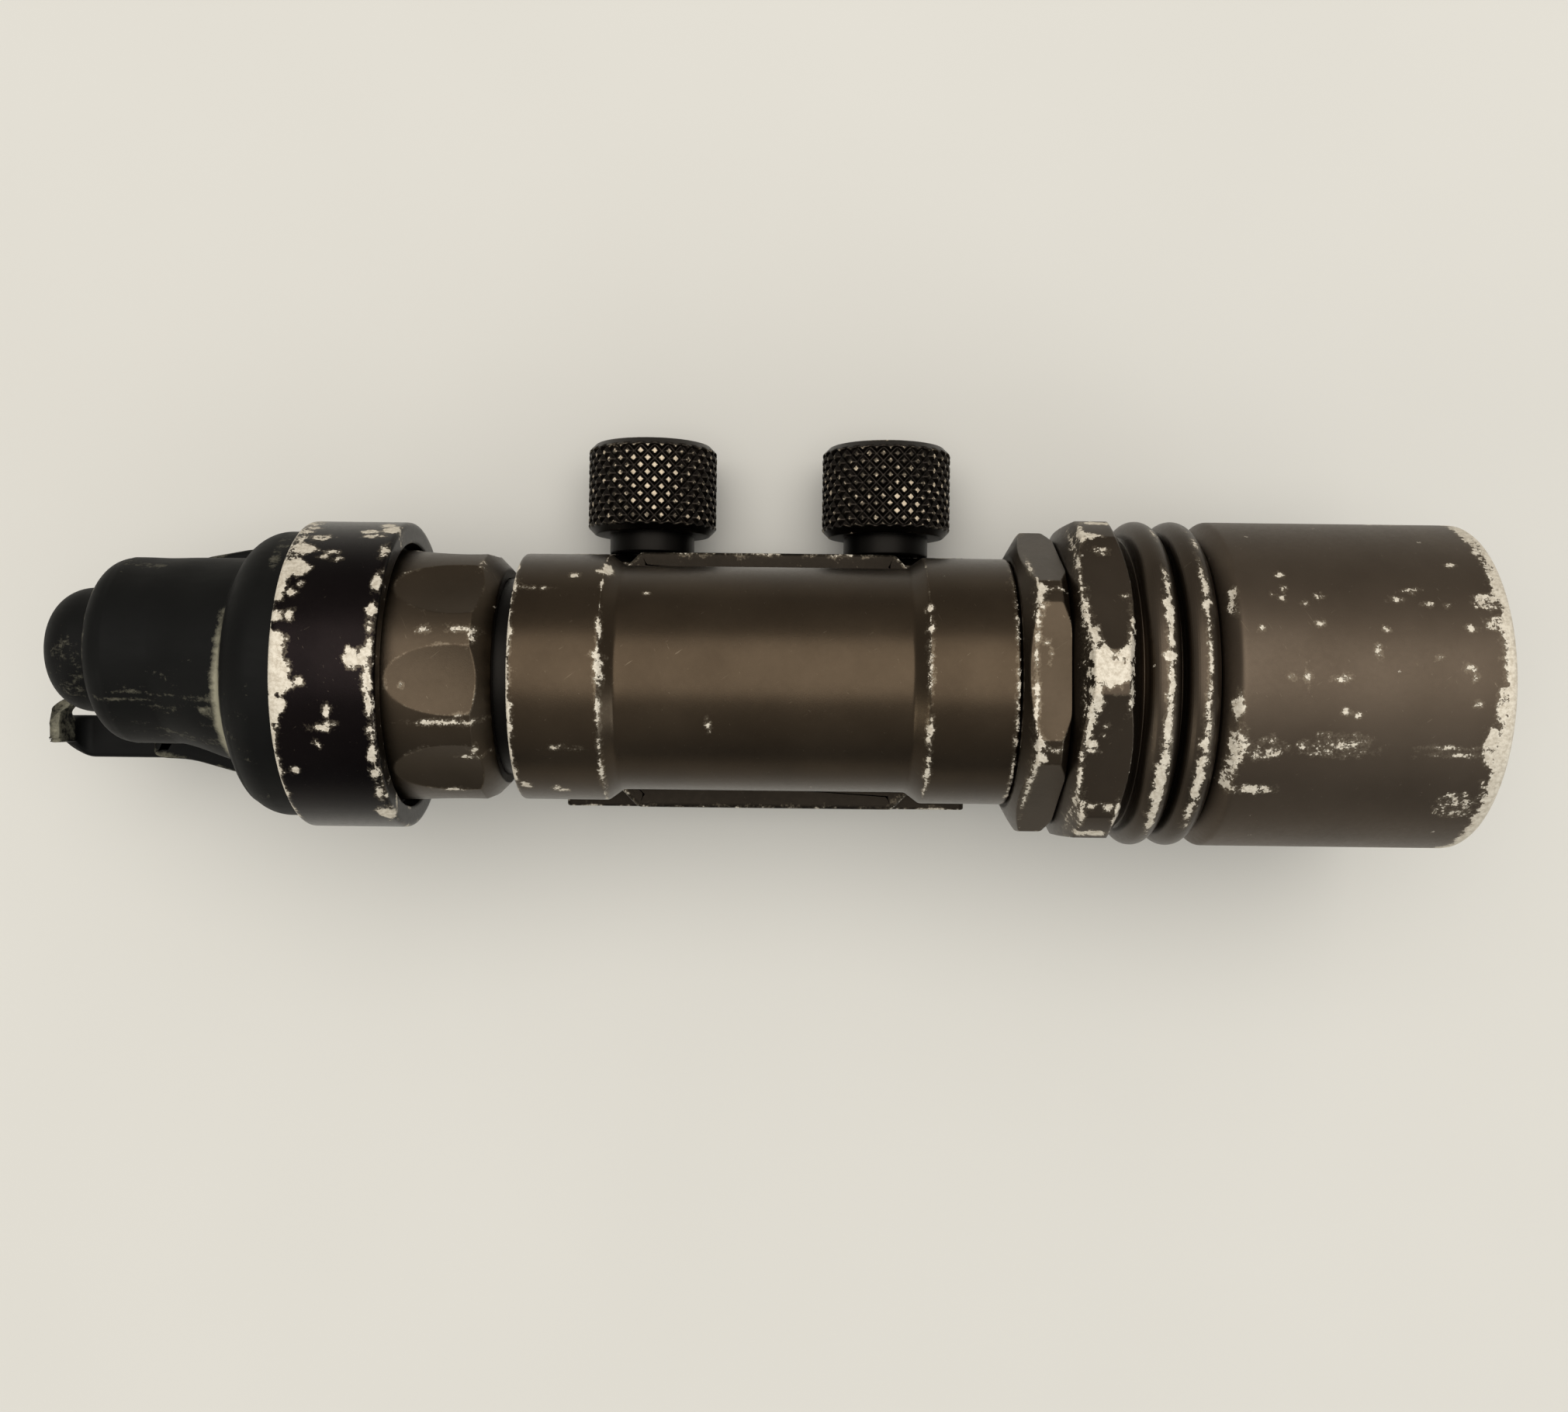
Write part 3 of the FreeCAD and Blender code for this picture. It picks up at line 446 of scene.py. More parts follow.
class Paint(Nodes):
    """A material, with its textures."""

    def __init__(self, name):
        self.material = bpy.data.materials.new(name)
        self.material.use_nodes = True
        super().__init__(self.material.node_tree)
        self.shader = self.tree.nodes["Principled BSDF"]
        self.place = self.add("ShaderNodeTexCoord", {}, "Object")

    def stretched(self, scale, shift=0.0):
        return self.add("ShaderNodeMapping", {"Vector": self.place, "Scale": scale,
                                              "Location": (shift,) * 3})

    def noise(self, size, detail=4.0, rough=0.6, place=None, shift=0.0):
        """Noise whose features are about size millimetres across, or stretched by place."""
        if place is None:
            place = self.stretched((1, 1, 1), shift) if shift else self.place
        return self.add("ShaderNodeTexNoise", {
            "Vector": place, "Scale": 1 / (size * MM), "Detail": detail, "Roughness": rough})

    def attribute(self, name):
        return self.add("ShaderNodeAttribute", {}, "Fac", attribute_name=name)

    def chips(self, cell, share, size, warp=0.5, shift=0.0):
        """Ragged round chips, at most size mm in radius, in a share of cells cell mm across."""
        drift = self.add("ShaderNodeTexNoise", {
            "Vector": self.stretched((1, 1, 1), shift), "Scale": 1 / (0.7 * MM), "Detail": 5.0,
            "Roughness": 0.7}, output="Color")
        offset = self.add("ShaderNodeVectorMath", {0: drift, 1: (0.5, 0.5, 0.5)},
                          operation="SUBTRACT")
        warped = self.add("ShaderNodeVectorMath", {
            0: offset, 1: (warp * 4 * MM,) * 3, 2: self.stretched((1, 1, 1), shift)},
            operation="MULTIPLY_ADD")
        tones = self.add("ShaderNodeTexVoronoi", {"Vector": warped, "Scale": 1 / (cell * MM)},
                         "Color")
        luck = self.add("ShaderNodeSeparateColor", {"Color": tones})
        radius = self.step(luck, 1 - share, 1.0, 0.0, size / cell)
        gap = self.math("SUBTRACT", radius, tones.node.outputs["Distance"])
        return self.step(gap, 0.0, 0.03)

    def scratches(self, turn, threshold):
        """Fine straight scratches in one direction, turned about Z by so many degrees."""
        turned_place = self.add("ShaderNodeMapping", {
            "Vector": self.place, "Rotation": (0.3, 0.2, math.radians(turn))})
        drawn_out = self.add("ShaderNodeMapping", {"Vector": turned_place, "Scale": (0.05, 1, 1)})
        lines = self.noise(0.25, 2.0, 0.5, place=drawn_out)
        return self.step(lines, threshold, threshold + 0.04)

    def bump(self, height, depth, strength):
        return self.add("ShaderNodeBump", {
            "Height": height, "Distance": depth * MM, "Strength": strength})

    def shade(self, **values):
        for key, value in values.items():
            self.put(self.shader.inputs[key.replace("_", " ")], value)
        return self.material


def colour(r, g, b):
    return (r, g, b, 1.0)


BARE = colour(0.60, 0.55, 0.46)
BARE_DULL = colour(0.30, 0.25, 0.18)
BARE_ROUGH = 0.6
BARE_METALLIC = 0.3


def anodised(name, dark, pale, rough, chips=(5.5, 0.04, 0.42), specks=0.012, scratches=0.12,
             bare=BARE):
    """Hard anodise worn through to bare metal where the piece's wear mark says, with chips; on the knurled
    knobs part of that mark is a painted highlight, not wear.

    The wear mark is 0.5 on the border of bare metal, which fine noise then breaks up.
    """
    p = Paint(name)
    dark, pale = colour(*dark), colour(*pale)
    wear_and_sheen = p.attribute("wear_and_sheen")
    cloud = p.noise(11.0, 3.0, 0.55)
    ragged = p.noise(1.0, 8.0, 0.74, shift=0.31)
    fine = p.noise(0.25, 3.0, 0.6, shift=0.7)
    gritty = p.noise(0.12, 2.0, 0.6)
    breakup = p.times(ragged, 1.5, p.times(fine, 0.55))
    gap = p.math("SUBTRACT", p.math("ADD", wear_and_sheen, breakup), 1.525)
    worn_and_sheen = p.step(gap, 0.0, 0.05)
    cell, share, size = chips
    marks = p.math("MAXIMUM", p.times(p.chips(cell, share, size), 0.85),
                   p.times(p.chips(1.1, specks, 0.24, 0.3, 3.3), 0.6))
    mask = p.math("MAXIMUM", worn_and_sheen, marks)
    lines = p.math("MAXIMUM", p.scratches(62, 0.73), p.scratches(-35, 0.74))
    base = p.mix(p.step(cloud, 0.3, 0.7), dark, pale)
    base = p.mix(p.times(p.step(gritty, 0.3, 0.8), 0.22), base, pale)
    base = p.mix(p.times(p.step(gap, -0.24, 0.0), 0.24), base, BARE_DULL)
    base = p.mix(p.times(lines, scratches), base, BARE_DULL)
    dirt = p.step(p.noise(0.5, 6.0, 0.72, shift=2.2), 0.42, 0.62)
    finish = p.mix(mask, base, p.mix(p.times(dirt, 0.6), bare, BARE_DULL))
    height = p.times(mask, -1.0, p.times(gritty, 0.3))
    roughness = p.times(p.noise(0.6, 4.0, 0.6), 0.14, rough - 0.07)
    return p.shade(
        Base_Color=finish, Metallic=p.times(mask, BARE_METALLIC - 1, 1.0),
        Roughness=p.times(mask, BARE_ROUGH - rough, roughness),
        Normal=p.bump(height, 0.03, 0.7))


def rubber(name, dark, pale, rough=0.56):
    """Black rubber, dulled and scuffed where it is rubbed, and paler where its mark holds painted sheen and
    painted highlights: the boot's near side, the tongue's rim and the strap's turned-up face.
    """
    p = Paint(name)
    dark, pale = colour(*dark), colour(*pale)
    wear_and_sheen = p.attribute("wear_and_sheen")
    cloud = p.noise(8.0, 4.0, 0.6)
    streaks = p.noise(1.6, 6.0, 0.68, place=p.stretched((0.3, 1, 1), 0.2))
    grit = p.noise(0.2, 3.0, 0.6)
    fine = p.noise(0.5, 6.0, 0.74, shift=0.9)
    gap = p.math("ADD", wear_and_sheen, p.times(streaks, 0.8, p.times(fine, 0.7)))
    rubbed_and_sheen = p.step(gap, 1.05, 1.65)
    nick = p.step(fine, 0.73, 0.75)
    base = p.mix(p.step(cloud, 0.35, 0.7), dark, pale)
    base = p.mix(rubbed_and_sheen, base, colour(0.24, 0.225, 0.165))
    base = p.mix(p.times(nick, 0.12), base, colour(0.10, 0.10, 0.09))
    height = p.times(grit, 0.2, p.times(p.noise(2.4, 3.0, 0.5), 0.9))
    return p.shade(
        Base_Color=base, Roughness=p.times(streaks, 0.2, rough - 0.1),
        Specular_IOR_Level=0.10, Normal=p.bump(height, 0.04, 0.5))


def plain(name, tone, rough, metallic=0.0, grain_size=0.4, contrast=0.2, depth=0.01):
    """A lightly mottled finish for small and inner pieces."""
    p = Paint(name)
    grain = p.noise(grain_size, 4.0, 0.6)
    darker = colour(*(c * (1 - contrast) for c in tone))
    return p.shade(
        Base_Color=p.mix(grain, darker, colour(*tone)), Metallic=metallic,
        Roughness=p.times(grain, 0.15, rough - 0.07),
        Normal=p.bump(grain, depth, 0.5))


def clear(name, tint):
    """Coated glass, with faint dust."""
    p = Paint(name)
    dust = p.step(p.noise(1.2, 5.0, 0.7), 0.6, 0.8)
    return p.shade(
        Base_Color=colour(*tint), Transmission_Weight=1.0, IOR=1.5,
        Roughness=p.times(dust, 0.08, 0.02))


FINISH = {
    "body": anodised("anodised_body", (0.036, 0.026, 0.017), (0.052, 0.038, 0.025), 0.30),
    "collar": anodised("anodised_collar", (0.040, 0.030, 0.020), (0.056, 0.042, 0.029), 0.34),
    "head": anodised("anodised_head", (0.042, 0.032, 0.023), (0.058, 0.045, 0.033), 0.36,
                     scratches=0.18),
    "bezel": anodised("anodised_bezel", (0.066, 0.050, 0.036), (0.087, 0.067, 0.049), 0.46,
                      chips=(3.6, 0.06, 0.4), specks=0.03, scratches=0.22),
    "ring": anodised("anodised_ring", (0.0062, 0.0048, 0.0050), (0.0105, 0.0080, 0.0080), 0.3,
                     chips=(5.0, 0.04, 0.5)),
    "clamp": anodised("anodised_clamp", (0.011, 0.009, 0.007), (0.016, 0.013, 0.010), 0.40),
    "knurl": anodised("black_steel", (0.014, 0.012, 0.010), (0.022, 0.018, 0.015), 0.38,
                      chips=(5.0, 0.02, 0.3), specks=0.0, bare=colour(0.60, 0.50, 0.37)),
    "rubber": rubber("boot_rubber", (0.0012, 0.0012, 0.0010), (0.0024, 0.0024, 0.0020)),
    # near-black metal for the necks: partly a dark thread, partly painted shade in the groove and under the
    # knob heads
    "dark_and_shaded": plain("dark_metal_and_painted_shade", (0.011, 0.010, 0.009), 0.42, 1.0),
    "steel": plain("stud_steel", (0.42, 0.41, 0.39), 0.32, 1.0),
    "seal": plain("seal_rubber", (0.012, 0.012, 0.012), 0.5),
    "mirror": plain("reflector_metal", (0.93, 0.92, 0.9), 0.1, 1.0, 0.7, 0.02, 0.004),
    "gold": plain("spring_gold", (0.75, 0.58, 0.27), 0.3, 1.0),
    "pill": plain("turned_aluminium", (0.68, 0.67, 0.65), 0.35, 1.0),
    "board": plain("board_laminate", (0.02, 0.12, 0.05), 0.4),
    "phosphor": plain("led_phosphor", (0.85, 0.68, 0.08), 0.35),
    "sleeve": plain("cell_sleeve", (0.05, 0.07, 0.25), 0.3),
    "moulded": plain("moulded_plastic", (0.02, 0.02, 0.02), 0.5),
    "glass": clear("window_glass", (0.97, 0.99, 0.98)),
}


def dress(piece, body, material, node):
    """Gives a piece its material and its body, and hides the CAD node it stands for."""
    piece.data.materials.clear()
    piece.data.materials.append(FINISH[material])
    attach(piece, body)
    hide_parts(node)


# ---- body and collars ----
def vee_thread(start, end, depth):
    """Relief for a vee thread between two places along the beam."""
    def relief(x, angle, r):
        groove = np.abs(2 * ((x / THREAD_PITCH - angle / 360) % 1) - 1)
        inside = (x > start) * (x < end) * (r > NECK_R - LAP)
        return depth * groove * inside, 0.2 * (groove < 0.2) * inside
    return relief


BODY_SPOTS = [
    (-27.5, 3, 0.18, 18), (-27.4, -18, 0.3, 7), (-27.5, -34, 0.18, 12), (-27.4, -50, 0.3, 6),
    (-27.4, 43, 0.35, 2.4), (-27.4, 18, 0.3, 3), (-25.7, 42, 0.9, 0.5), (-17.7, 58, 0.55, 4.6),
    (-18.2, 55, 0.5, 2), (-21, 51, 0.4, 1.4), (-17.8, 20, 0.25, 4), (-17.8, 3, 0.45, 6),
    (-17.9, 8, 0.6, 1.4), (-17.8, -16, 0.14, 12), (-17.8, -40, 0.14, 14), (17.9, 32, 0.25, 1.8),
    (17.9, 6, 0.18, 8), (17.9, 22, 0.3, 1.6), (17.9, -22, 0.3, 4), (18, -42, 0.2, 9),
    (-23, -62, 0.5, 2.2), (-22.4, -64, 0.6, 1.4), (-26.4, -60, 0.5, 2.6), (27.3, -20, 0.12, 40, 0.5),
    (-13, 45, 0.25, 0.8), (-21.5, -34, 0.8, 0.7, 0.4), (-6, -25, 0.15, 1.8, 0.55),
]


def make_body_tube():
    rear, front = span("body_tube")
    # the neck between the body and the rear collar gets the near-black finish: partly a dark thread, partly
    # painted shade in the groove
    neck = turned("body_neck", pipe(rear, LAP - BODY_HALF, BORE_R, NECK_R), worn_and_sheen=0.0)
    dress(neck, "body", "dark_and_shaded", "body_tube")
    thread = turned("head_thread", pipe(BODY_HALF - LAP, front, BORE_R, NECK_R),
                    step=0.12, sides=256, worn_and_sheen=0.3,
                    relief=vee_thread(COLLAR_FRONT_X, front - THREAD_START, 0.45))
    dress(thread, "body", "body", "body_tube")
    outline = [
        (-BODY_HALF, BORE_R), (-BODY_HALF, BODY_R, 0.45, 0.62),
        (-RECESS_HALF - RECESS_STEP, BODY_R, 0.25, 0.48), (-RECESS_HALF, RECESS_R, 0.3),
        (RECESS_HALF, RECESS_R, 0.3), (RECESS_HALF + RECESS_STEP, BODY_R, 0.25, 0.4),
        (BODY_HALF, BODY_R, 0.45, 0.3), (BODY_HALF, BORE_R),
    ]
    tube = turned("body_tube_shell", outline, step=0.3, sides=540, worn_and_sheen=0.0, edge_width=0.12,
                  spots=BODY_SPOTS)
    dress(tube, "body", "body", "body_tube")


def make_saddle():
    half_x, half_y, bevel = FLANGE_HALF_X, span("body_tube", 1)[1], FLANGE_BEVEL
    outline = [(half_x, half_y - bevel), (half_x - bevel, half_y), (bevel - half_x, half_y),
               (-half_x, half_y - bevel), (-half_x, bevel - half_y), (bevel - half_x, -half_y),
               (half_x - bevel, -half_y), (half_x, bevel - half_y)]
    flange = slab("saddle_flange", outline, FLANGE_LOW, FLANGE_TOP, level, corner=0.5, edge=0.35,
                  worn_and_sheen=0.36)
    dress(flange, "body", "clamp", "body_tube")
    outline = [(WEB_HALF_X, WEB_HALF_Y), (-WEB_HALF_X, WEB_HALF_Y), (-WEB_HALF_X, -WEB_HALF_Y),
               (WEB_HALF_X, -WEB_HALF_Y)]
    web = slab("saddle_web", outline, *WEB_Z, level, edge=0.2, worn_and_sheen=0.0)
    dress(web, "body", "clamp", "body_tube")


def flute_limit(x, angle):
    """Long shallow scoops round the collar, hollow across, each with a round rear end."""
    part = 360 / FLUTE_COUNT
    offset = np.radians((angle - FLUTE_TURN + part / 2) % part - part / 2)
    rise = (FLUTE_LAND_R - FLUTE_FLOOR) * ((x - FLUTE_DEEP_X) / FLUTE_RUN) ** 2
    hollow = (FLUTE_LAND_R * np.sin(offset)) ** 2 / (2 * FLUTE_HOLLOW_R)
    scoop = (FLUTE_FLOOR + rise + hollow) / np.cos(offset)
    return np.where(x > FLUTE_DEEP_X - 9, scoop, FLUTE_LAND_R + 5)


FLUTE_SPOTS = [
    (-32.5, 19.5, 1, 1.2, 0.62), (-31.4, 16, 0.35, 2.8, 0.6), (-36.6, 19, 0.5, 1.3),
    (-33.6, -21.5, 1.9, 0.9), (-35.6, -21.6, 0.8, 0.7, 0.6), (-31.4, -37, 0.35, 2.4, 0.6),
    (-31.9, -40.5, 0.8, 0.8, 0.6), (-34.3, -63.5, 0.8, 0.7, 0.55), (-31.6, 58, 0.25, 2.6, 0.5),
    (-38.9, -6, 0.2, 0.8, 0.55), (-31.4, 150, 0.6, 5, 0.6), (-31.4, -140, 0.6, 5, 0.6),
]


def make_rear_collar():
    rear, front = span("rear_collar")
    inner = NECK_R + NECK_FIT
    outline = [
        (rear, inner), (rear, REAR_THREAD_R), (REAR_THREAD_X, REAR_THREAD_R),
        (REAR_THREAD_X, FLUTE_LAND_R, 0.1),
        (front - 2, FLUTE_LAND_R, 0.08), (front, FLUTE_LAND_R - 2, 0.15), (front, inner),
    ]
    collar = turned("fluted_collar", outline, sides=900, step=0.16, limit=flute_limit, worn_and_sheen=0.0,
                    flat_worn=0.27, flat_blend=0.02, spots=FLUTE_SPOTS,
                    relief=vee_thread(rear + THREAD_START, REAR_THREAD_X - 0.5, 0.4))
    dress(collar, "body", "collar", "rear_collar")


COLLAR_SPOTS = [
    (29.6, 34.5, 0.55, 1.8), (29.3, 31, 0.3, 4), (29.1, 22, 0.22, 5), (29.4, 27.5, 0.5, 1.2),
    (28.9, 10, 0.14, 10), (28.9, -3, 0.3, 2.6), (28.9, -9, 0.22, 9), (29.3, -23, 0.5, 3),
    (29.5, -29, 0.55, 2.4), (29.1, -36, 0.25, 6), (28.9, -50, 0.18, 8, 0.6), (29.9, 14, 0.3, 1),
    (30.4, 10.5, 0.1, 1), (28.9, 52, 0.2, 5, 0.6), (30.9, 34.3, 0.7, 0.5), (29.4, 150, 0.6, 4),
    (29.4, -150, 0.6, 4), (29.2, 92, 0.4, 4), (31.2, -25.5, 0.6, 0.5),
]


def make_front_collar():
    rear, front = span("front_collar")
    inner = NECK_R + NECK_FIT
    back, face = COLLAR_BEVEL
    outline = [(rear, inner), (rear, COLLAR_R - 2.6), (rear + back, COLLAR_R, 0.2, 0.5),
               (front - face, COLLAR_R, 0.2), (front, COLLAR_R - face), (front, inner)]
    collar = turned("hex_collar", outline, sides=900, step=0.2, worn_and_sheen=0.22, flat_worn=0.3,
                    flat_blend=0.04, edge_width=0.14, limit=polygon(6, COLLAR_FLATS, COLLAR_TURN),
                    spots=COLLAR_SPOTS)
    dress(collar, "body", "collar", "front_collar")


# ---- clamp ----
def make_clamp():
    half = span("clamp_base")[1]
    back, face = span("clamp_base", 1)
    bottom, top = span("clamp_base", 2)
    slope_z, edge_z = RAIL_WIDE_Z
    section = [(back, top), (face, top), (face, 0), (-RAIL_HALF_TOP, 0),
               (-RAIL_HALF_WIDE, slope_z), (-RAIL_HALF_WIDE, edge_z),
               (-RAIL_HALF_NECK, RAIL_NECK_Z), (-RAIL_HALF_NECK, bottom),
               (back + JAW_EDGE, bottom), (back, bottom + JAW_EDGE)]
    base = slab("clamp_base_block", section, -half, half, along_x, corner=0.3, edge=0.3)
    dress(base, "body", "clamp", "clamp_base")
    roof, outer = span("moving_jaw", 2)[1], span("moving_jaw", 1)[1]
    section = [(JAW_STEP_Y, roof), (outer - JAW_TOP_EDGE, roof), (outer, roof - JAW_TOP_EDGE),
               (outer, bottom + JAW_EDGE), (outer - JAW_EDGE, bottom), (RAIL_HALF_NECK, bottom),
               (RAIL_HALF_NECK, RAIL_NECK_Z), (RAIL_HALF_WIDE, edge_z),
               (RAIL_HALF_WIDE, slope_z), (JAW_STEP_Y, JAW_STEP_Z)]
    jaw = slab("moving_jaw_bar", section, -half, half, along_x, corner=0.3, edge=0.3)
    dress(jaw, "jaw", "clamp", "moving_jaw")


def stud_thread(y, angle, r):
    """A shallow vee thread."""
    groove = np.abs(2 * ((y / STUD_THREAD - angle / 360) % 1) - 1)
    return 0.28 * groove * (r > 0.8 * STUD_R), 0.5 + 0 * groove


def make_studs():
    rear, front = span("clamp_studs", 1)
    for name in ("rear", "front"):
        stud = turned(f"clamp_stud_{name}", pipe(rear, front, 0, STUD_R), step=0.1, sides=64,
                      relief=stud_thread, place=stud_place(name))
        dress(stud, "body", "steel", "clamp_studs")


def knurl(y, angle, r):
    """Diamond knurl: two crossing sets of vee grooves, their tips flattened and rubbed bright."""
    around = round(2 * math.pi * THUMB_R / KNURL_PITCH)
    u = angle / 360 * around
    v = y / KNURL_PITCH
    first = np.abs(2 * ((u + v) % 1) - 1)
    second = np.abs(2 * ((u - v) % 1) - 1)
    depth = np.clip(np.maximum(first, second) - 0.38, 0, 1)
    neck, top = span("thumbscrew_front", 1)
    margin = 0.7
    inside = np.minimum(y - neck - THUMB_NECK - margin, top - margin - y)
    inside = np.clip(inside / (margin / 2), 0, 1) * (r > THUMB_R - margin)
    tips = np.clip(1 - depth / 0.14, 0, 1)
    return KNURL_DEPTH * 1.5 * depth * inside, tips * inside


def make_thumbscrews():
    neck, end = span("thumbscrew_front", 1)
    head = neck + THUMB_NECK
    collar = [(neck, 0), (neck, THUMB_NECK_R, 0.3), (head + 0.2, THUMB_NECK_R), (head + 0.2, 0)]
    outline = [
        (head, 0), (head, THUMB_R - THUMB_BEVEL, 0.15), (head + THUMB_BEVEL, THUMB_R, 0.12),
        (end - THUMB_BEVEL, THUMB_R, 0.12), (end, THUMB_R - THUMB_BEVEL, 0.15),
        (end, THUMB_DISH_R + 0.4, 0.2), (end - THUMB_DISH, THUMB_DISH_R, 0.2), (end - THUMB_DISH, 0),
    ]
    # one patch on each knob where the knurl tips, rubbed all round, are made brighter still: a painted
    # highlight
    rubbed_and_sheen = {"rear": (25.6, 3.0, 4.5, 22.0), "front": (22.4, 16.0, 2.6, 15.0)}
    for name, (sheen_y, sheen_angle, sheen_half, sheen_turn) in rubbed_and_sheen.items():
        def relief(y, angle, r):
            cut, tips = knurl(y, angle, r)
            turn = (angle - sheen_angle + 180) % 360 - 180
            reach = ((y - sheen_y) / sheen_half) ** 2 + turn ** 2 / sheen_turn ** 2
            return cut, tips * (0.45 + 0.4 * np.exp(-reach))
        knob = turned(f"knurled_knob_{name}", outline, step=0.11, sides=560, relief=relief,
                      worn_and_sheen=0.3, edge_width=0.2, place=stud_place(name))
        dress(knob, f"{name}_screw", "knurl", f"thumbscrew_{name}")
        # the neck under each knob's head gets the near-black finish: painted shade beneath the head
        boss = turned(f"knob_neck_{name}", collar, sides=256, worn_and_sheen=0.2, place=stud_place(name))
        dress(boss, f"{name}_screw", "dark_and_shaded", f"thumbscrew_{name}")


# ---- head ----
def groove_and_fins():
    """Round-topped fins with narrow grooves between them, as outline points from the rear."""
    points = []
    for fin_x in FIN_X:
        for k in range(25):
            turn = math.radians(-90 + 180 * k / 24)
            points.append((fin_x + FIN_CREST_R * math.sin(turn),
                           HEAD_R - FIN_CREST_R * (1 - math.cos(turn)), 0.02))
        points.append((fin_x + FIN_CREST_R + 0.06, VALLEY_R, 0.05))
        points.append((fin_x + FIN_CREST_R + 0.18, VALLEY_R, 0.05))
    return points


HEAD_SPOTS = [
    (36.2, 2.4, 2.2, 5), (35, 7.5, 0.9, 3.6), (37.6, 7.5, 0.8, 3.2), (34.5, 13, 0.5, 6),
    (34.1, 21, 0.25, 7), (38.4, 12, 0.35, 5), (38.7, 18, 0.2, 4), (34.7, -6, 0.7, 5), (34.3, -13, 0.42, 7),
    (34.1, -20, 0.22, 5), (38.3, -3.5, 0.3, 4.5), (33.7, 38, 0.14, 18), (33.8, -36, 0.16, 16),
    (34.7, -22.5, 0.5, 1.3), (34.8, -25, 0.55, 1), (34.4, 58, 0.5, 4.6), (35.4, 56.5, 0.7, 1.6),
    (36.3, 67, 1.8, 1.6), (34.5, -50, 0.35, 5), (36.1, -60.5, 1.9, 1.8), (38.3, -50, 0.45, 4.5),
    (37.2, -46.5, 0.55, 1), (35.3, -46.5, 0.5, 0.9), (36.3, 50, 0.5, 0.7), (36.6, 48.5, 0.35, 0.6),
    (38.2, 30.5, 0.3, 0.6), (36, -15.5, 0.2, 0.6), (35.8, -19, 0.2, 0.6), (36.2, 122.5, 1.8, 3),
    (36.2, -117.5, 1.9, 3), (36.2, -177.5, 1.6, 3),
]
# the patches on each fin, from its crest
FIN_SPOTS = (
    [(0.5, 34, 0.3, 5), (0.45, 25, 0.5, 6), (0.45, 15, 0.28, 7), (0.3, 8, 0.6, 2.4), (0.35, -2, 0.3, 8),
     (0.2, -18, 0.42, 12), (0.1, -36, 0.6, 16), (0.2, -53, 0.35, 8), (0.6, 62, 0.25, 3), (0, 140, 0.45, 24),
     (0, -120, 0.4, 20)],
    [(0.4, 32, 0.34, 5), (0.35, 26, 0.4, 2), (0.3, 10, 0.14, 20), (0.2, -8, 0.22, 8), (0.1, -20, 0.42, 5),
     (0, -34, 0.5, 12), (-0.1, -48, 0.3, 7), (0.6, 55, 0.28, 3), (0, 170, 0.4, 30)],
)
for crest, fin_spots in zip(FIN_X, FIN_SPOTS):
    HEAD_SPOTS += [(crest + offset, *rest) for offset, *rest in fin_spots]


def make_head_body():
    rear = span("head_body")[0]
    outline = [
        (rear, HEAD_NECK_R), (rear, HEAD_REAR_R, 0.3), (HEX_X[0], HEX_R, 0.2), (HEX_X[1], HEX_R, 0.2),
        (HEX_END_X, HEX_END_R, 0.2), (HEX_END_X + 0.5, VALLEY_R, 0.1),
    ] + groove_and_fins() + [
        (HEAD_JOIN_X, SPIGOT_R + NECK_FIT), (SPIGOT_X, SPIGOT_R + NECK_FIT), (SPIGOT_X, PILL_R),
        (HEAD_BORE_X, PILL_R), (HEAD_BORE_X, HEAD_NECK_R),
    ]
    hexagon = polygon(6, HEX_FLATS, HEX_TURN)

    def limit(x, angle):
        return np.where(x < HEX_END_X, hexagon(x, angle), HEAD_R + 5)

    head = turned("finned_head", outline, sides=900, step=0.22, limit=limit, worn_and_sheen=0.0,
                  flat_worn=0.28, flat_blend=0.04, spots=HEAD_SPOTS)
    dress(head, "head", "head", "head_body")


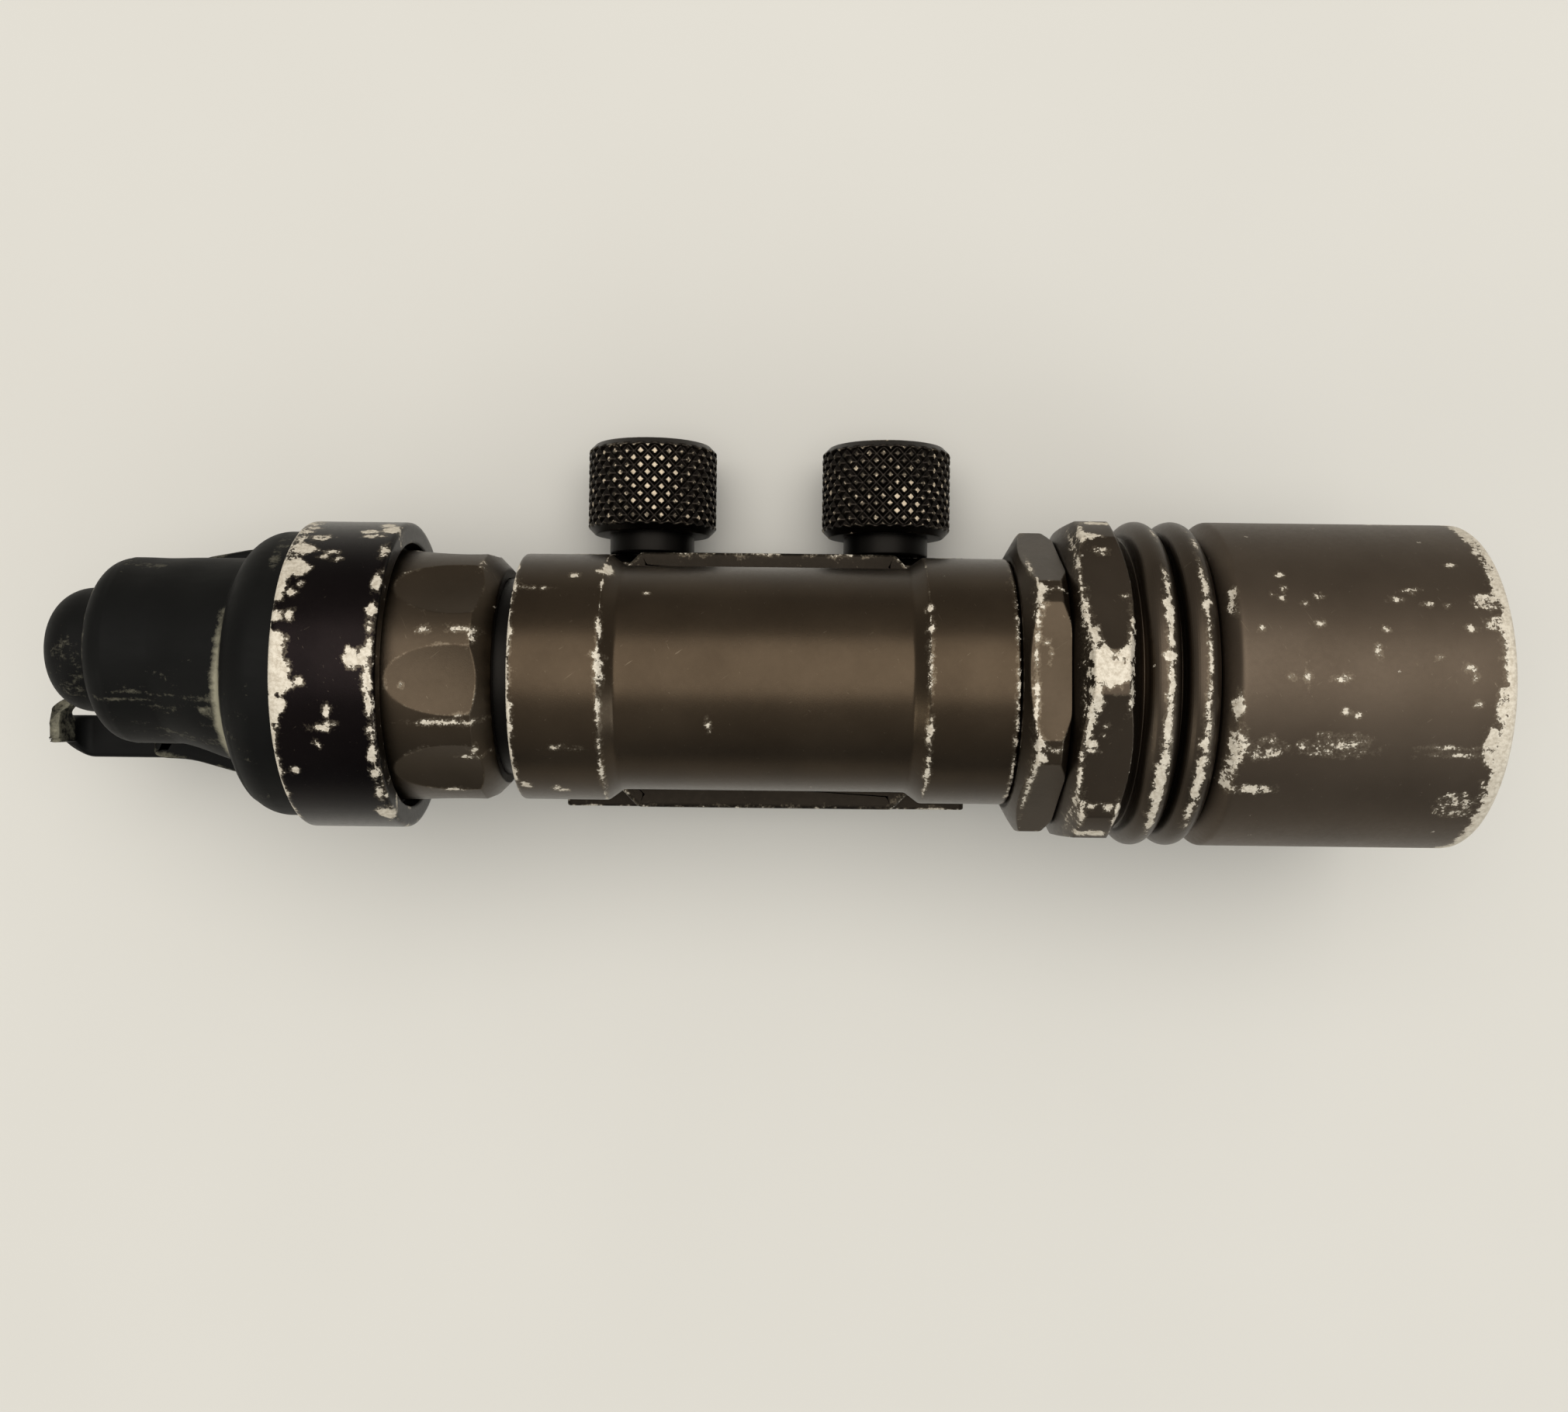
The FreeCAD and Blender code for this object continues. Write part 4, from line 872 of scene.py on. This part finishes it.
BEZEL_SPOTS = [
    (49.6, -9, 0.55, 2.6, 0.8), (49.7, -5.5, 0.25, 1.6), (49.8, -22, 0.7, 6.5, 0.58),
    (52.5, -21.5, 2.2, 3, 0.42), (51.6, -37.5, 2.2, 1.5, 0.62), (49.4, -32, 0.5, 6, 0.55),
    (49.4, 28, 0.3, 3, 0.6), (49.5, 31.5, 0.3, 1.2), (54.7, 38, 0.35, 1), (54.8, 32, 0.3, 0.9),
    (53.6, 30, 0.25, 0.8), (54.4, 29, 0.3, 0.9), (56.8, 26.5, 0.3, 0.8), (58.5, 29, 0.35, 0.9),
    (52, 17.5, 0.3, 0.8), (58.1, 19.5, 0.4, 0.7), (64.9, 18, 0.3, 0.8), (64, 10.6, 0.25, 1.2),
    (56.5, 2, 0.2, 1.6), (54.8, 1.8, 0.25, 0.8), (60.1, 1, 0.5, 0.7), (60.4, 1.8, 0.2, 1.2),
    (60.6, -9.5, 0.3, 0.8), (61.9, -10.5, 0.3, 0.8), (70.4, 8.3, 0.3, 0.8), (73.5, 4.9, 0.7, 1),
    (73.9, 3.4, 0.25, 1.5), (74.3, -6, 0.4, 1), (66.6, 28.5, 0.5, 0.6), (68.2, 32, 0.5, 0.6),
    (69.8, 27, 0.35, 0.7), (71.9, 26.5, 0.35, 0.8), (73.6, 18.5, 0.35, 0.9), (73.4, 43.5, 0.4, 0.9),
    (60.5, -21, 3.6, 3.6, 0.43), (72, -21, 1.1, 0.4, 0.6), (72.4, -23.5, 0.9, 0.35, 0.58),
    (77.6, 38, 0.8, 7, 0.7), (76.5, 27.5, 1.7, 3.4, 0.55), (76.9, 20, 1.2, 2.4, 0.58),
    (77.9, 9, 0.7, 9, 0.8), (77.3, -6.5, 1.1, 6, 0.66), (76.9, -20, 1.5, 8, 0.64),
    (77.5, -33, 1.1, 6, 0.85), (74.3, -44, 2, 5.5, 0.45), (77.7, -50, 0.8, 12, 0.7),
    (77.3, 62, 0.8, 14, 0.65), (77.4, 100, 0.9, 20, 0.65), (77, 140, 1.3, 16, 0.62),
    (77.3, 175, 1.1, 22, 0.65), (77, -95, 1.2, 16, 0.62), (77.2, -130, 1, 18, 0.65),
    (50, 120, 0.8, 12, 0.6), (50.2, -110, 1.2, 10, 0.55), (60, 150, 4, 4, 0.43),
    (66, -150, 4, 4, 0.43), (70, 80, 2.5, 3.5, 0.43),
]


def make_bezel():
    front = span("bezel_tube")[1]
    rear, join = SPIGOT_X + LAP, HEAD_JOIN_X + NECK_FIT
    outline = [
        (rear, PILL_R), (rear, SPIGOT_R), (join, SPIGOT_R), (join, BEZEL_BORE_R, 0.1),
        (SHOULDER_X, HEAD_R, 0.4), (front, HEAD_R, BEZEL_RIM), (front, BEZEL_BORE_R + 0.3, 0.25),
        (front - 0.6, BEZEL_BORE_R), (BEZEL_BORE_X, BEZEL_BORE_R), (BEZEL_BORE_X, PILL_R),
    ]

    def rim(x, angle, r):
        bare = 0.82 + 0.3 * np.cos(np.radians(angle + 30))
        return 0 * angle * x, bare * near(x - front, 1.6) * (r > BEZEL_BORE_R + LAP)

    bezel = turned("bezel", outline, sides=540, step=0.4, worn_and_sheen=0.0, spots=BEZEL_SPOTS, relief=rim)
    dress(bezel, "head", "bezel", "bezel_tube")


def make_lamp():
    rear, front = span("retaining_ring")
    outer = BEZEL_BORE_R - NECK_FIT
    ring = turned("window_ring", [(rear, GASKET_R), (rear, outer), (front, outer), (front, 16.2),
                                  (rear + 0.9, GASKET_R)], worn_and_sheen=0.2)
    dress(ring, "head", "body", "retaining_ring")
    (back, face), radius = span("window"), span("window", 1)[1]
    glass = turned("window_glass", pipe(back, face, 0, radius), edge=0.3, sides=256)
    dress(glass, "head", "glass", "window")
    throat, lip = span("reflector")
    steps = 28
    base_r, lip_r = CUP_R
    focus = (lip_r ** 2 - base_r ** 2) / (lip - throat)
    inner = []
    for k in range(steps + 1):
        r = base_r + (lip_r - base_r) * k / steps
        inner.append((throat + (r * r - base_r ** 2) / focus, r, 0.02))
    outer = [(x, r + CUP_WALL, curve) for x, r, curve in inner[:-3]]
    rim = lip - CUP_LIP
    outline = outer + [(rim, lip_r + CUP_LIP), (rim, CUP_LIP_R), (lip, CUP_LIP_R)] + inner[::-1]
    cup = turned("reflector_cup", outline, edge=0.02, sides=256)
    dress(cup, "head", "mirror", "reflector")


# ---- tail ----
RING_SPOTS = [
    (-51.9, 68, 2, 16, 0.52), (-51.7, 48, 1.8, 9, 0.55), (-50, 48.5, 1, 3), (-50.4, 40, 1.3, 4.5),
    (-49.3, 39, 0.7, 2.4), (-51.9, 33, 1.2, 8), (-51.4, 26.5, 0.5, 2), (-50.1, 28.5, 0.55, 1.2),
    (-49.3, 31.5, 0.25, 0.9), (-51.4, 19.5, 0.6, 2), (-50, 20, 0.45, 1.7), (-51.7, 6, 1.5, 8),
    (-51.3, -2, 1.9, 7), (-50.1, -5, 0.9, 1.8), (-51.6, -12, 1.3, 6), (-51.9, -24, 0.5, 10),
    (-51.9, -45, 0.4, 22), (-46.9, 47.5, 0.5, 0.9), (-47.6, 44.5, 0.45, 0.9), (-46, 44, 0.35, 1.2),
    (-50, 11, 0.25, 0.9), (-48.6, -3.5, 0.4, 1.6), (-45.8, -14, 0.3, 1.9), (-46.4, -20, 0.9, 1.1),
    (-45.7, -18.5, 0.5, 0.8), (-47, -26, 0.4, 1.2), (-49.9, -37, 0.4, 1.3), (-49.1, 57, 1.1, 2.2, 0.6),
    (-43.1, 4.3, 0.95, 2.9), (-41.8, 5.2, 0.75, 2.9), (-41.3, 7.5, 0.3, 3), (-41.3, 33, 0.45, 3.8),
    (-41.4, 21.5, 0.45, 2.2), (-41.4, 14.5, 0.3, 1.6), (-41.4, -3, 0.45, 3.5), (-41.3, -11, 0.25, 7),
    (-41.3, -22, 0.3, 8), (-41.4, -31, 0.4, 3), (-41.4, -38, 0.4, 2.5), (-41.4, -47, 0.4, 3.5),
    (-41.6, -62, 0.9, 5), (-41.6, 66, 0.9, 4), (-42.4, 71, 0.7, 3.5), (-44, 63, 0.9, 1.6, 0.62),
    (-43.2, 59, 0.8, 1.2, 0.6), (-41.4, 49, 0.35, 3), (-50.9, 100, 1.4, 12), (-51.5, 150, 0.9, 18),
    (-51.2, -110, 1.3, 15), (-41.4, 120, 0.6, 9), (-41.5, -140, 0.6, 12), (-46.5, -100, 0.9, 3),
    (-45.5, 130, 0.8, 2.6), (-47.5, 170, 0.9, 2.4),
]


def make_tail_ring():
    rear, front = span("tail_ring")
    outline = [
        (rear, RING_LIP_R), (rear, RING_R, 0.6), (front, RING_R, 0.55),
        (front, RING_MOUTH_R, 0.3), (REAR_THREAD_X, RING_MOUTH_R), (REAR_THREAD_X, RING_THREAD_R),
        (RING_SEAT_X, RING_THREAD_R), (RING_SEAT_X, RING_GROOVE_R), (RING_LIP_X, RING_GROOVE_R),
        (RING_LIP_X, RING_LIP_R),
    ]
    ring = turned("tail_ring_shell", outline, sides=540, step=0.3, worn_and_sheen=0.36, spots=RING_SPOTS)
    dress(ring, "tail_ring", "ring", "tail_ring")


def circle_reach(centre, radius, angle):
    """Distance from the sleeve's axis to a circle whose centre is to one side in Y."""
    turn = np.radians(angle)
    inside = np.maximum(radius ** 2 - (centre * np.cos(turn)) ** 2, 0.01)
    return centre * np.sin(turn) + np.sqrt(inside)


def flange_radius(x):
    """The boot's flange under the ring: level, then round, then a steep cone."""
    back = np.maximum(FLANGE_BACK_X - x, 0)
    most = math.sin(math.radians(FLANGE_TURN))
    turn = np.arcsin(np.minimum(back / FLANGE_BEND_R, most))
    cone = FLANGE_CONE * np.maximum(back - FLANGE_BEND_R * most, 0)
    return BOOT_FLANGE_R - FLANGE_BEND_R * (1 - np.cos(turn)) - cone


def make_boot():
    """The rubber boot: the ring's flange, the flare and the off-centre sleeve run together."""
    rear, front = span("tail_boot")
    angle = np.linspace(0, 360, 540, endpoint=False)[None, :]
    hole = BUTTON_HOLE_R
    stations = [(rear + 1.2, hole), (rear + 0.5, hole + 0.02), (rear + 0.15, hole + 0.1)]
    for k in range(17):
        turn = math.radians(90 * k / 16)
        stations.append((rear + 0.03 + BOOT_CORNER * (1 - math.cos(turn)),
                         BOOT_R - BOOT_CORNER + 0.05 + (BOOT_CORNER - 0.05) * math.sin(turn)))
    stations += [(x, BOOT_R) for x in np.arange(rear + BOOT_CORNER + 0.3, front - 0.01, 0.2)]
    x = np.array([s[0] for s in stations])[:, None]
    sleeve = np.array([s[1] for s in stations])[:, None] + 0 * angle
    flange = circle_reach(-BOOT_Y, np.maximum(flange_radius(x), 4.0), angle)
    run = np.clip((FLARE_X - x) / FLARE_RUN, -0.8, 1)
    flare = circle_reach((FLARE_Y - BOOT_Y) * (1 - run), FLARE_R - FLARE_DROP * run, angle)
    outer = x > rear + BOOT_CORNER - 0.01
    radius = np.where(outer, soft_max(soft_max(sleeve, flare, 0.3), flange, 0.35), sleeve)
    xyz = beam_place(x, radius, angle, BOOT_Y)
    loose = np.clip((x - rear - 2) / 4, 0, 1) * (x < FLANGE_BACK_X - 3)
    radius = radius + 0.09 * wobble(xyz, 9.0, 21) * loose
    crease = near(flare - flange, 1.7) * outer * (x < FLANGE_BACK_X)
    facing = np.clip(1.25 * np.cos(np.radians(angle + 62)), 0, 1) ** 0.6
    lip = near(x - rear - 0.3, 0.34) * (radius < BOOT_R - 0.9)
    # the sleeve and flare are made paler towards the near, -Y side: partly rubbed rubber, partly painted
    # sheen
    lower_rub_and_sheen = np.clip(1.5 * np.cos(np.radians(angle + 72)), 0, 1) * outer * (x < FLANGE_BACK_X)
    wear_and_sheen = np.maximum(crease * facing, 0.42 * lip * (0.6 + 0.4 * wobble(xyz, 2.5, 25)))
    wear_and_sheen = np.maximum(wear_and_sheen, 0.2 * lower_rub_and_sheen)
    spots = [(-75.4, 8, 0.5, 5, 0.7), (-75.6, -6, 0.6, 5, 0.9), (-75.2, 40, 0.4, 3, 0.8),
             (-71.2, -32, 1.4, 0.8, 0.6), (-70.2, -27, 0.8, 0.6, 0.5), (-60.4, -34, 1.3, 3.5, 0.55),
             (-62.6, -28, 1.4, 0.5, 0.42), (-63, -60, 4, 6, 0.34), (-72, 62, 4, 6, 0.32),
             (-53.4, 60, 0.5, 20, 0.4), (-60, 150, 6, 14, 0.4), (-66, -150, 5, 12, 0.4)]
    wear_and_sheen = np.maximum(wear_and_sheen, patches(x, angle, BOOT_R, xyz, spots) * 0.8)
    xyz = beam_place(x, radius, angle, BOOT_Y)
    for inner_x, inner_r in [(front, hole + 1.2), (rear + 2.0, hole + 1.2), (rear + 2.0, hole)]:
        row = beam_place(np.array([[inner_x]]), inner_r + 0 * angle, angle, BOOT_Y)
        xyz = np.concatenate([xyz, row])
        wear_and_sheen = np.concatenate([wear_and_sheen, 0 * angle])
    boot = grid_mesh("rubber_boot", xyz, wear_and_sheen)
    dress(boot, "tail", "rubber", "tail_boot")


def make_button():
    tip, front = span("button_dome")
    bend = math.radians(BUTTON_TURN)
    end_r = BUTTON_R - BUTTON_CORNER * (1 - math.cos(bend))
    end_x = BUTTON_DOME_X - BUTTON_CORNER * math.sin(bend)
    rise = end_x - tip
    crown = (rise ** 2 + end_r ** 2) / (2 * rise)
    half = math.asin(end_r / crown)
    outline = []
    for k in range(10):
        turn = half * k / 10
        outline.append((tip + crown * (1 - math.cos(turn)), crown * math.sin(turn), 0.05))
    for k in range(19):
        turn = bend * (1 - k / 18)
        outline.append((BUTTON_DOME_X - BUTTON_CORNER * math.sin(turn),
                        BUTTON_R - BUTTON_CORNER * (1 - math.cos(turn)), 0.02))
    outline += [(front, BUTTON_R), (front, 0)]
    spots = [(tip + 1.5, 0, 1.5, 200, 0.12), (tip + 4.5, -30, 2.2, 40, 0.26)]
    button = turned("push_button", outline, edge=0.1, sides=256, worn_and_sheen=0.0, spots=spots,
                    place=lambda x, r, a: beam_place(x, r, a, BOOT_Y))
    dress(button, "button", "rubber", "button_dome")


def make_tongue():
    """Shield-shaped plate under the boot."""
    outline = [(-58.5, -8.0), (-58.9, -11.6, 1.5), (-63.0, -12.9, 2.0), (-71.5, -10.6, 2.0),
               (-74.7, -10.5, 0.6), (-76.2, -10.2, 1.0), (-76.0, -4.0), (-75.5, 4.5, 3.0),
               (-70.7, 14.4, 1.5), (-62.8, 15.9, 3.0), (-58.9, 14.6, 2.5), (-58.5, 9.0)]
    # its rounded edges are marked worn, which pales them: partly rub, partly a painted reflection along the
    # rim
    tongue = slab("boot_tongue", outline, STRAP_LOW, STRAP_LOW + TONGUE_THICK, level, corner=0.5,
                  edge=0.6, worn_and_sheen=0.4)
    dress(tongue, "tail", "rubber", "tether_strap")


def strap_surface(along, across):
    """Mid-surface of the strap: level, turned up, then curled round towards +Y.

    Along is the length from the strap's root and across the distance from its middle.
    """
    flat = STRAP_ROOT_X - STRAP_BEND_X
    arc = math.pi / 2 * STRAP_BEND_R
    turn = np.clip((along - flat) / STRAP_BEND_R, 0, math.pi / 2)
    up = np.maximum(along - flat - arc, 0)
    x = STRAP_ROOT_X - np.minimum(along, flat) - STRAP_BEND_R * np.sin(turn)
    z = STRAP_LOW + STRAP_THICK / 2 + STRAP_BEND_R * (1 - np.cos(turn)) + up
    wrap = np.maximum(across - STRAP_WIDTH / 2, 0) / CURL_BEND_R
    y = STRAP_Y + np.minimum(across, STRAP_WIDTH / 2) + CURL_BEND_R * np.sin(wrap)
    x = x + CURL_BEND_R * (1 - np.cos(wrap))
    return np.stack([x, y, z], axis=-1)


def make_strap():
    """Flat moulded strap from the tongue, which turns up and curls round to a torn end."""
    length = STRAP_ROOT_X - STRAP_BEND_X + math.pi / 2 * STRAP_BEND_R + STRAP_UP
    along = np.linspace(0, 1, 110)[:, None] * length
    columns = 72
    side = np.concatenate([np.linspace(-1, 1, columns), np.linspace(1, -1, columns)])[None, :]
    face = np.concatenate([np.ones(columns), -np.ones(columns)])[None, :]
    rng = np.random.default_rng(SEED)
    teeth = np.repeat(rng.uniform(-1, 1, 64), 3)
    torn_top = np.interp(side, np.linspace(-1, 1, 60), teeth[:60])
    torn_side = np.interp(along / length, np.linspace(0, 1, 128), teeth[60:188])
    bend = np.clip((along - STRAP_ROOT_X + STRAP_BEND_X) / STRAP_BEND_R, 0, math.pi / 2)
    up = np.clip((along - length + STRAP_UP) / STRAP_UP, 0, 1)
    curled = np.clip((up - 0.12) / 0.3, 0, 1)
    curled = curled * curled * (3 - 2 * curled)
    reach = np.where(side > 0, STRAP_WIDTH / 2 + CURL_REACH * curled * (1 + 0.14 * torn_side),
                     STRAP_WIDTH / 2 - 1.9 * (1 - np.cos(bend)))
    across = side * reach
    near_end = np.clip((along - length + 1.5) / 1.5, 0, 1)
    slant = np.where(side > 0.3, -2.0 * (side - 0.3), -0.5 * (0.3 - side))
    lengthwise = along + near_end * (slant + 0.35 * torn_top)
    middle = strap_surface(lengthwise, across)
    ahead = strap_surface(lengthwise + 0.02, across) - middle
    beside = strap_surface(lengthwise, across + 0.02) - middle
    normal = np.cross(ahead, beside)
    normal /= np.maximum(np.linalg.norm(normal, axis=-1, keepdims=True), 1e-9)
    edge = np.sqrt(np.clip(1 - np.abs(side) ** 12, 0.0, 1))
    xyz = middle + (face * edge * STRAP_THICK / 2 * (1 - 0.25 * near_end))[..., None] * normal
    # the face of the turned-up end that looks towards +X is made paler: a painted highlight where light
    # falls on it
    inner = (face * np.sign(normal[..., 0]) > 0) * np.clip(up * 6, 0, 1)
    wear_and_sheen = 0.1 + 0.28 * inner + 0.35 * near_end ** 4 + 0.2 * np.abs(side) ** 30
    strap = grid_mesh("torn_strap", xyz, np.clip(wear_and_sheen, 0, 1), capped=True)
    dress(strap, "tail", "rubber", "tether_strap")


# ---- CAD pieces that are kept as they are ----
CAD_FINISH = {
    "seal": ["head_o_ring", "front_gasket", "rear_gasket", "tail_o_ring"],
    "sleeve": ["battery_rear", "battery_front"],
    "steel": ["base_screws"],
    "gold": ["jaw_springs", "head_contact_spring", "tail_contact_spring"],
    "phosphor": ["led_emitter"],
    "board": ["led_board", "driver_board", "switch_board"],
    "pill": ["heat_sink"],
    "moulded": ["switch_housing", "switch_module", "switch_plunger"],
}

for material, nodes in CAD_FINISH.items():
    for node in nodes:
        frame["nodes"][node].data.materials.clear()
        frame["nodes"][node].data.materials.append(FINISH[material])


# ---- floor, light and camera ----
CAMERA_OVER_BEAM = 172.7
CAMERA_X = 2.2
CAMERA_Y = -3.1
CAMERA_ROLL = 0.68
LENS = 34.1


def make_floor():
    p = Paint("pale_table")
    cloud = p.noise(60.0, 3.0, 0.5)
    p.shade(Base_Color=p.mix(cloud, colour(0.543, 0.532, 0.497), colour(0.575, 0.563, 0.528)),
            Roughness=0.6, Specular_IOR_Level=0.2)
    mesh = bpy.data.meshes.new("table")
    side = 3.0
    corners = [(-side, -side), (side, -side), (side, side), (-side, side)]
    mesh.from_pydata([(x, y, FLOOR_Z * MM) for x, y in corners], [], [(0, 1, 2, 3)])
    mesh.materials.append(p.material)
    placed("table", mesh)


def make_softbox(name, place, wide, deep, radiance, tint):
    """A large diffuser, aimed at the light on the table."""
    lamp = bpy.data.lights.new(name, "AREA")
    lamp.shape = "ELLIPSE"
    lamp.size = wide
    lamp.size_y = deep
    lamp.energy = radiance * math.pi * math.pi / 4 * wide * deep
    lamp.color = tint
    holder = placed(name, lamp)
    holder.location = place
    holder.rotation_euler = (-Vector(place)).to_track_quat("-Z", "Y").to_euler()


def make_world(overhead, near_side, far_side):
    """A room that is bright overhead and dims towards the horizon, most on the near side."""
    world = bpy.data.worlds.new("room")
    world.use_nodes = True
    sky = Nodes(world.node_tree)
    far = sky.add("ShaderNodeSeparateXYZ", {0: sky.add("ShaderNodeTexCoord", {}, "Generated")}, "Y")
    around = sky.mix(sky.step(far, -1.0, 1.0), near_side, far_side)
    room = sky.mix(far.node.outputs["Z"], around, overhead)
    sky.put(sky.tree.nodes["Background"].inputs["Color"], room)
    bpy.context.scene.world = world


def make_camera():
    camera = bpy.data.cameras.new("camera")
    camera.lens = LENS
    camera.clip_start = 0.01
    camera.dof.use_dof = False
    holder = placed("camera", camera)
    holder.location = (CAMERA_X * MM, CAMERA_Y * MM, (BEAM_Z + CAMERA_OVER_BEAM) * MM)
    holder.rotation_euler = (0, 0, math.radians(CAMERA_ROLL))
    bpy.context.scene.camera = holder


make_camera()
make_floor()
make_world(colour(0.84, 0.82, 0.78), colour(0.26, 0.28, 0.30), colour(0.52, 0.50, 0.47))
make_softbox("overhead", (0.0, 0.18, 0.95), 1.3, 1.06, 2.3, (1.0, 0.97, 0.92))
make_softbox("front_window", (0.95, -0.55, 0.50), 0.5, 0.4, 3.6, (0.88, 0.95, 1.0))
make_softbox("rear_window", (-0.95, -0.55, 0.50), 0.5, 0.4, 3.0, (1.0, 0.97, 0.86))
bpy.context.scene.view_settings.view_transform = "Standard"

make_body_tube()
make_saddle()
make_rear_collar()
make_front_collar()
make_clamp()
make_studs()
make_thumbscrews()
make_head_body()
make_bezel()
make_lamp()
make_tail_ring()
make_boot()
make_button()
make_tongue()
make_strap()
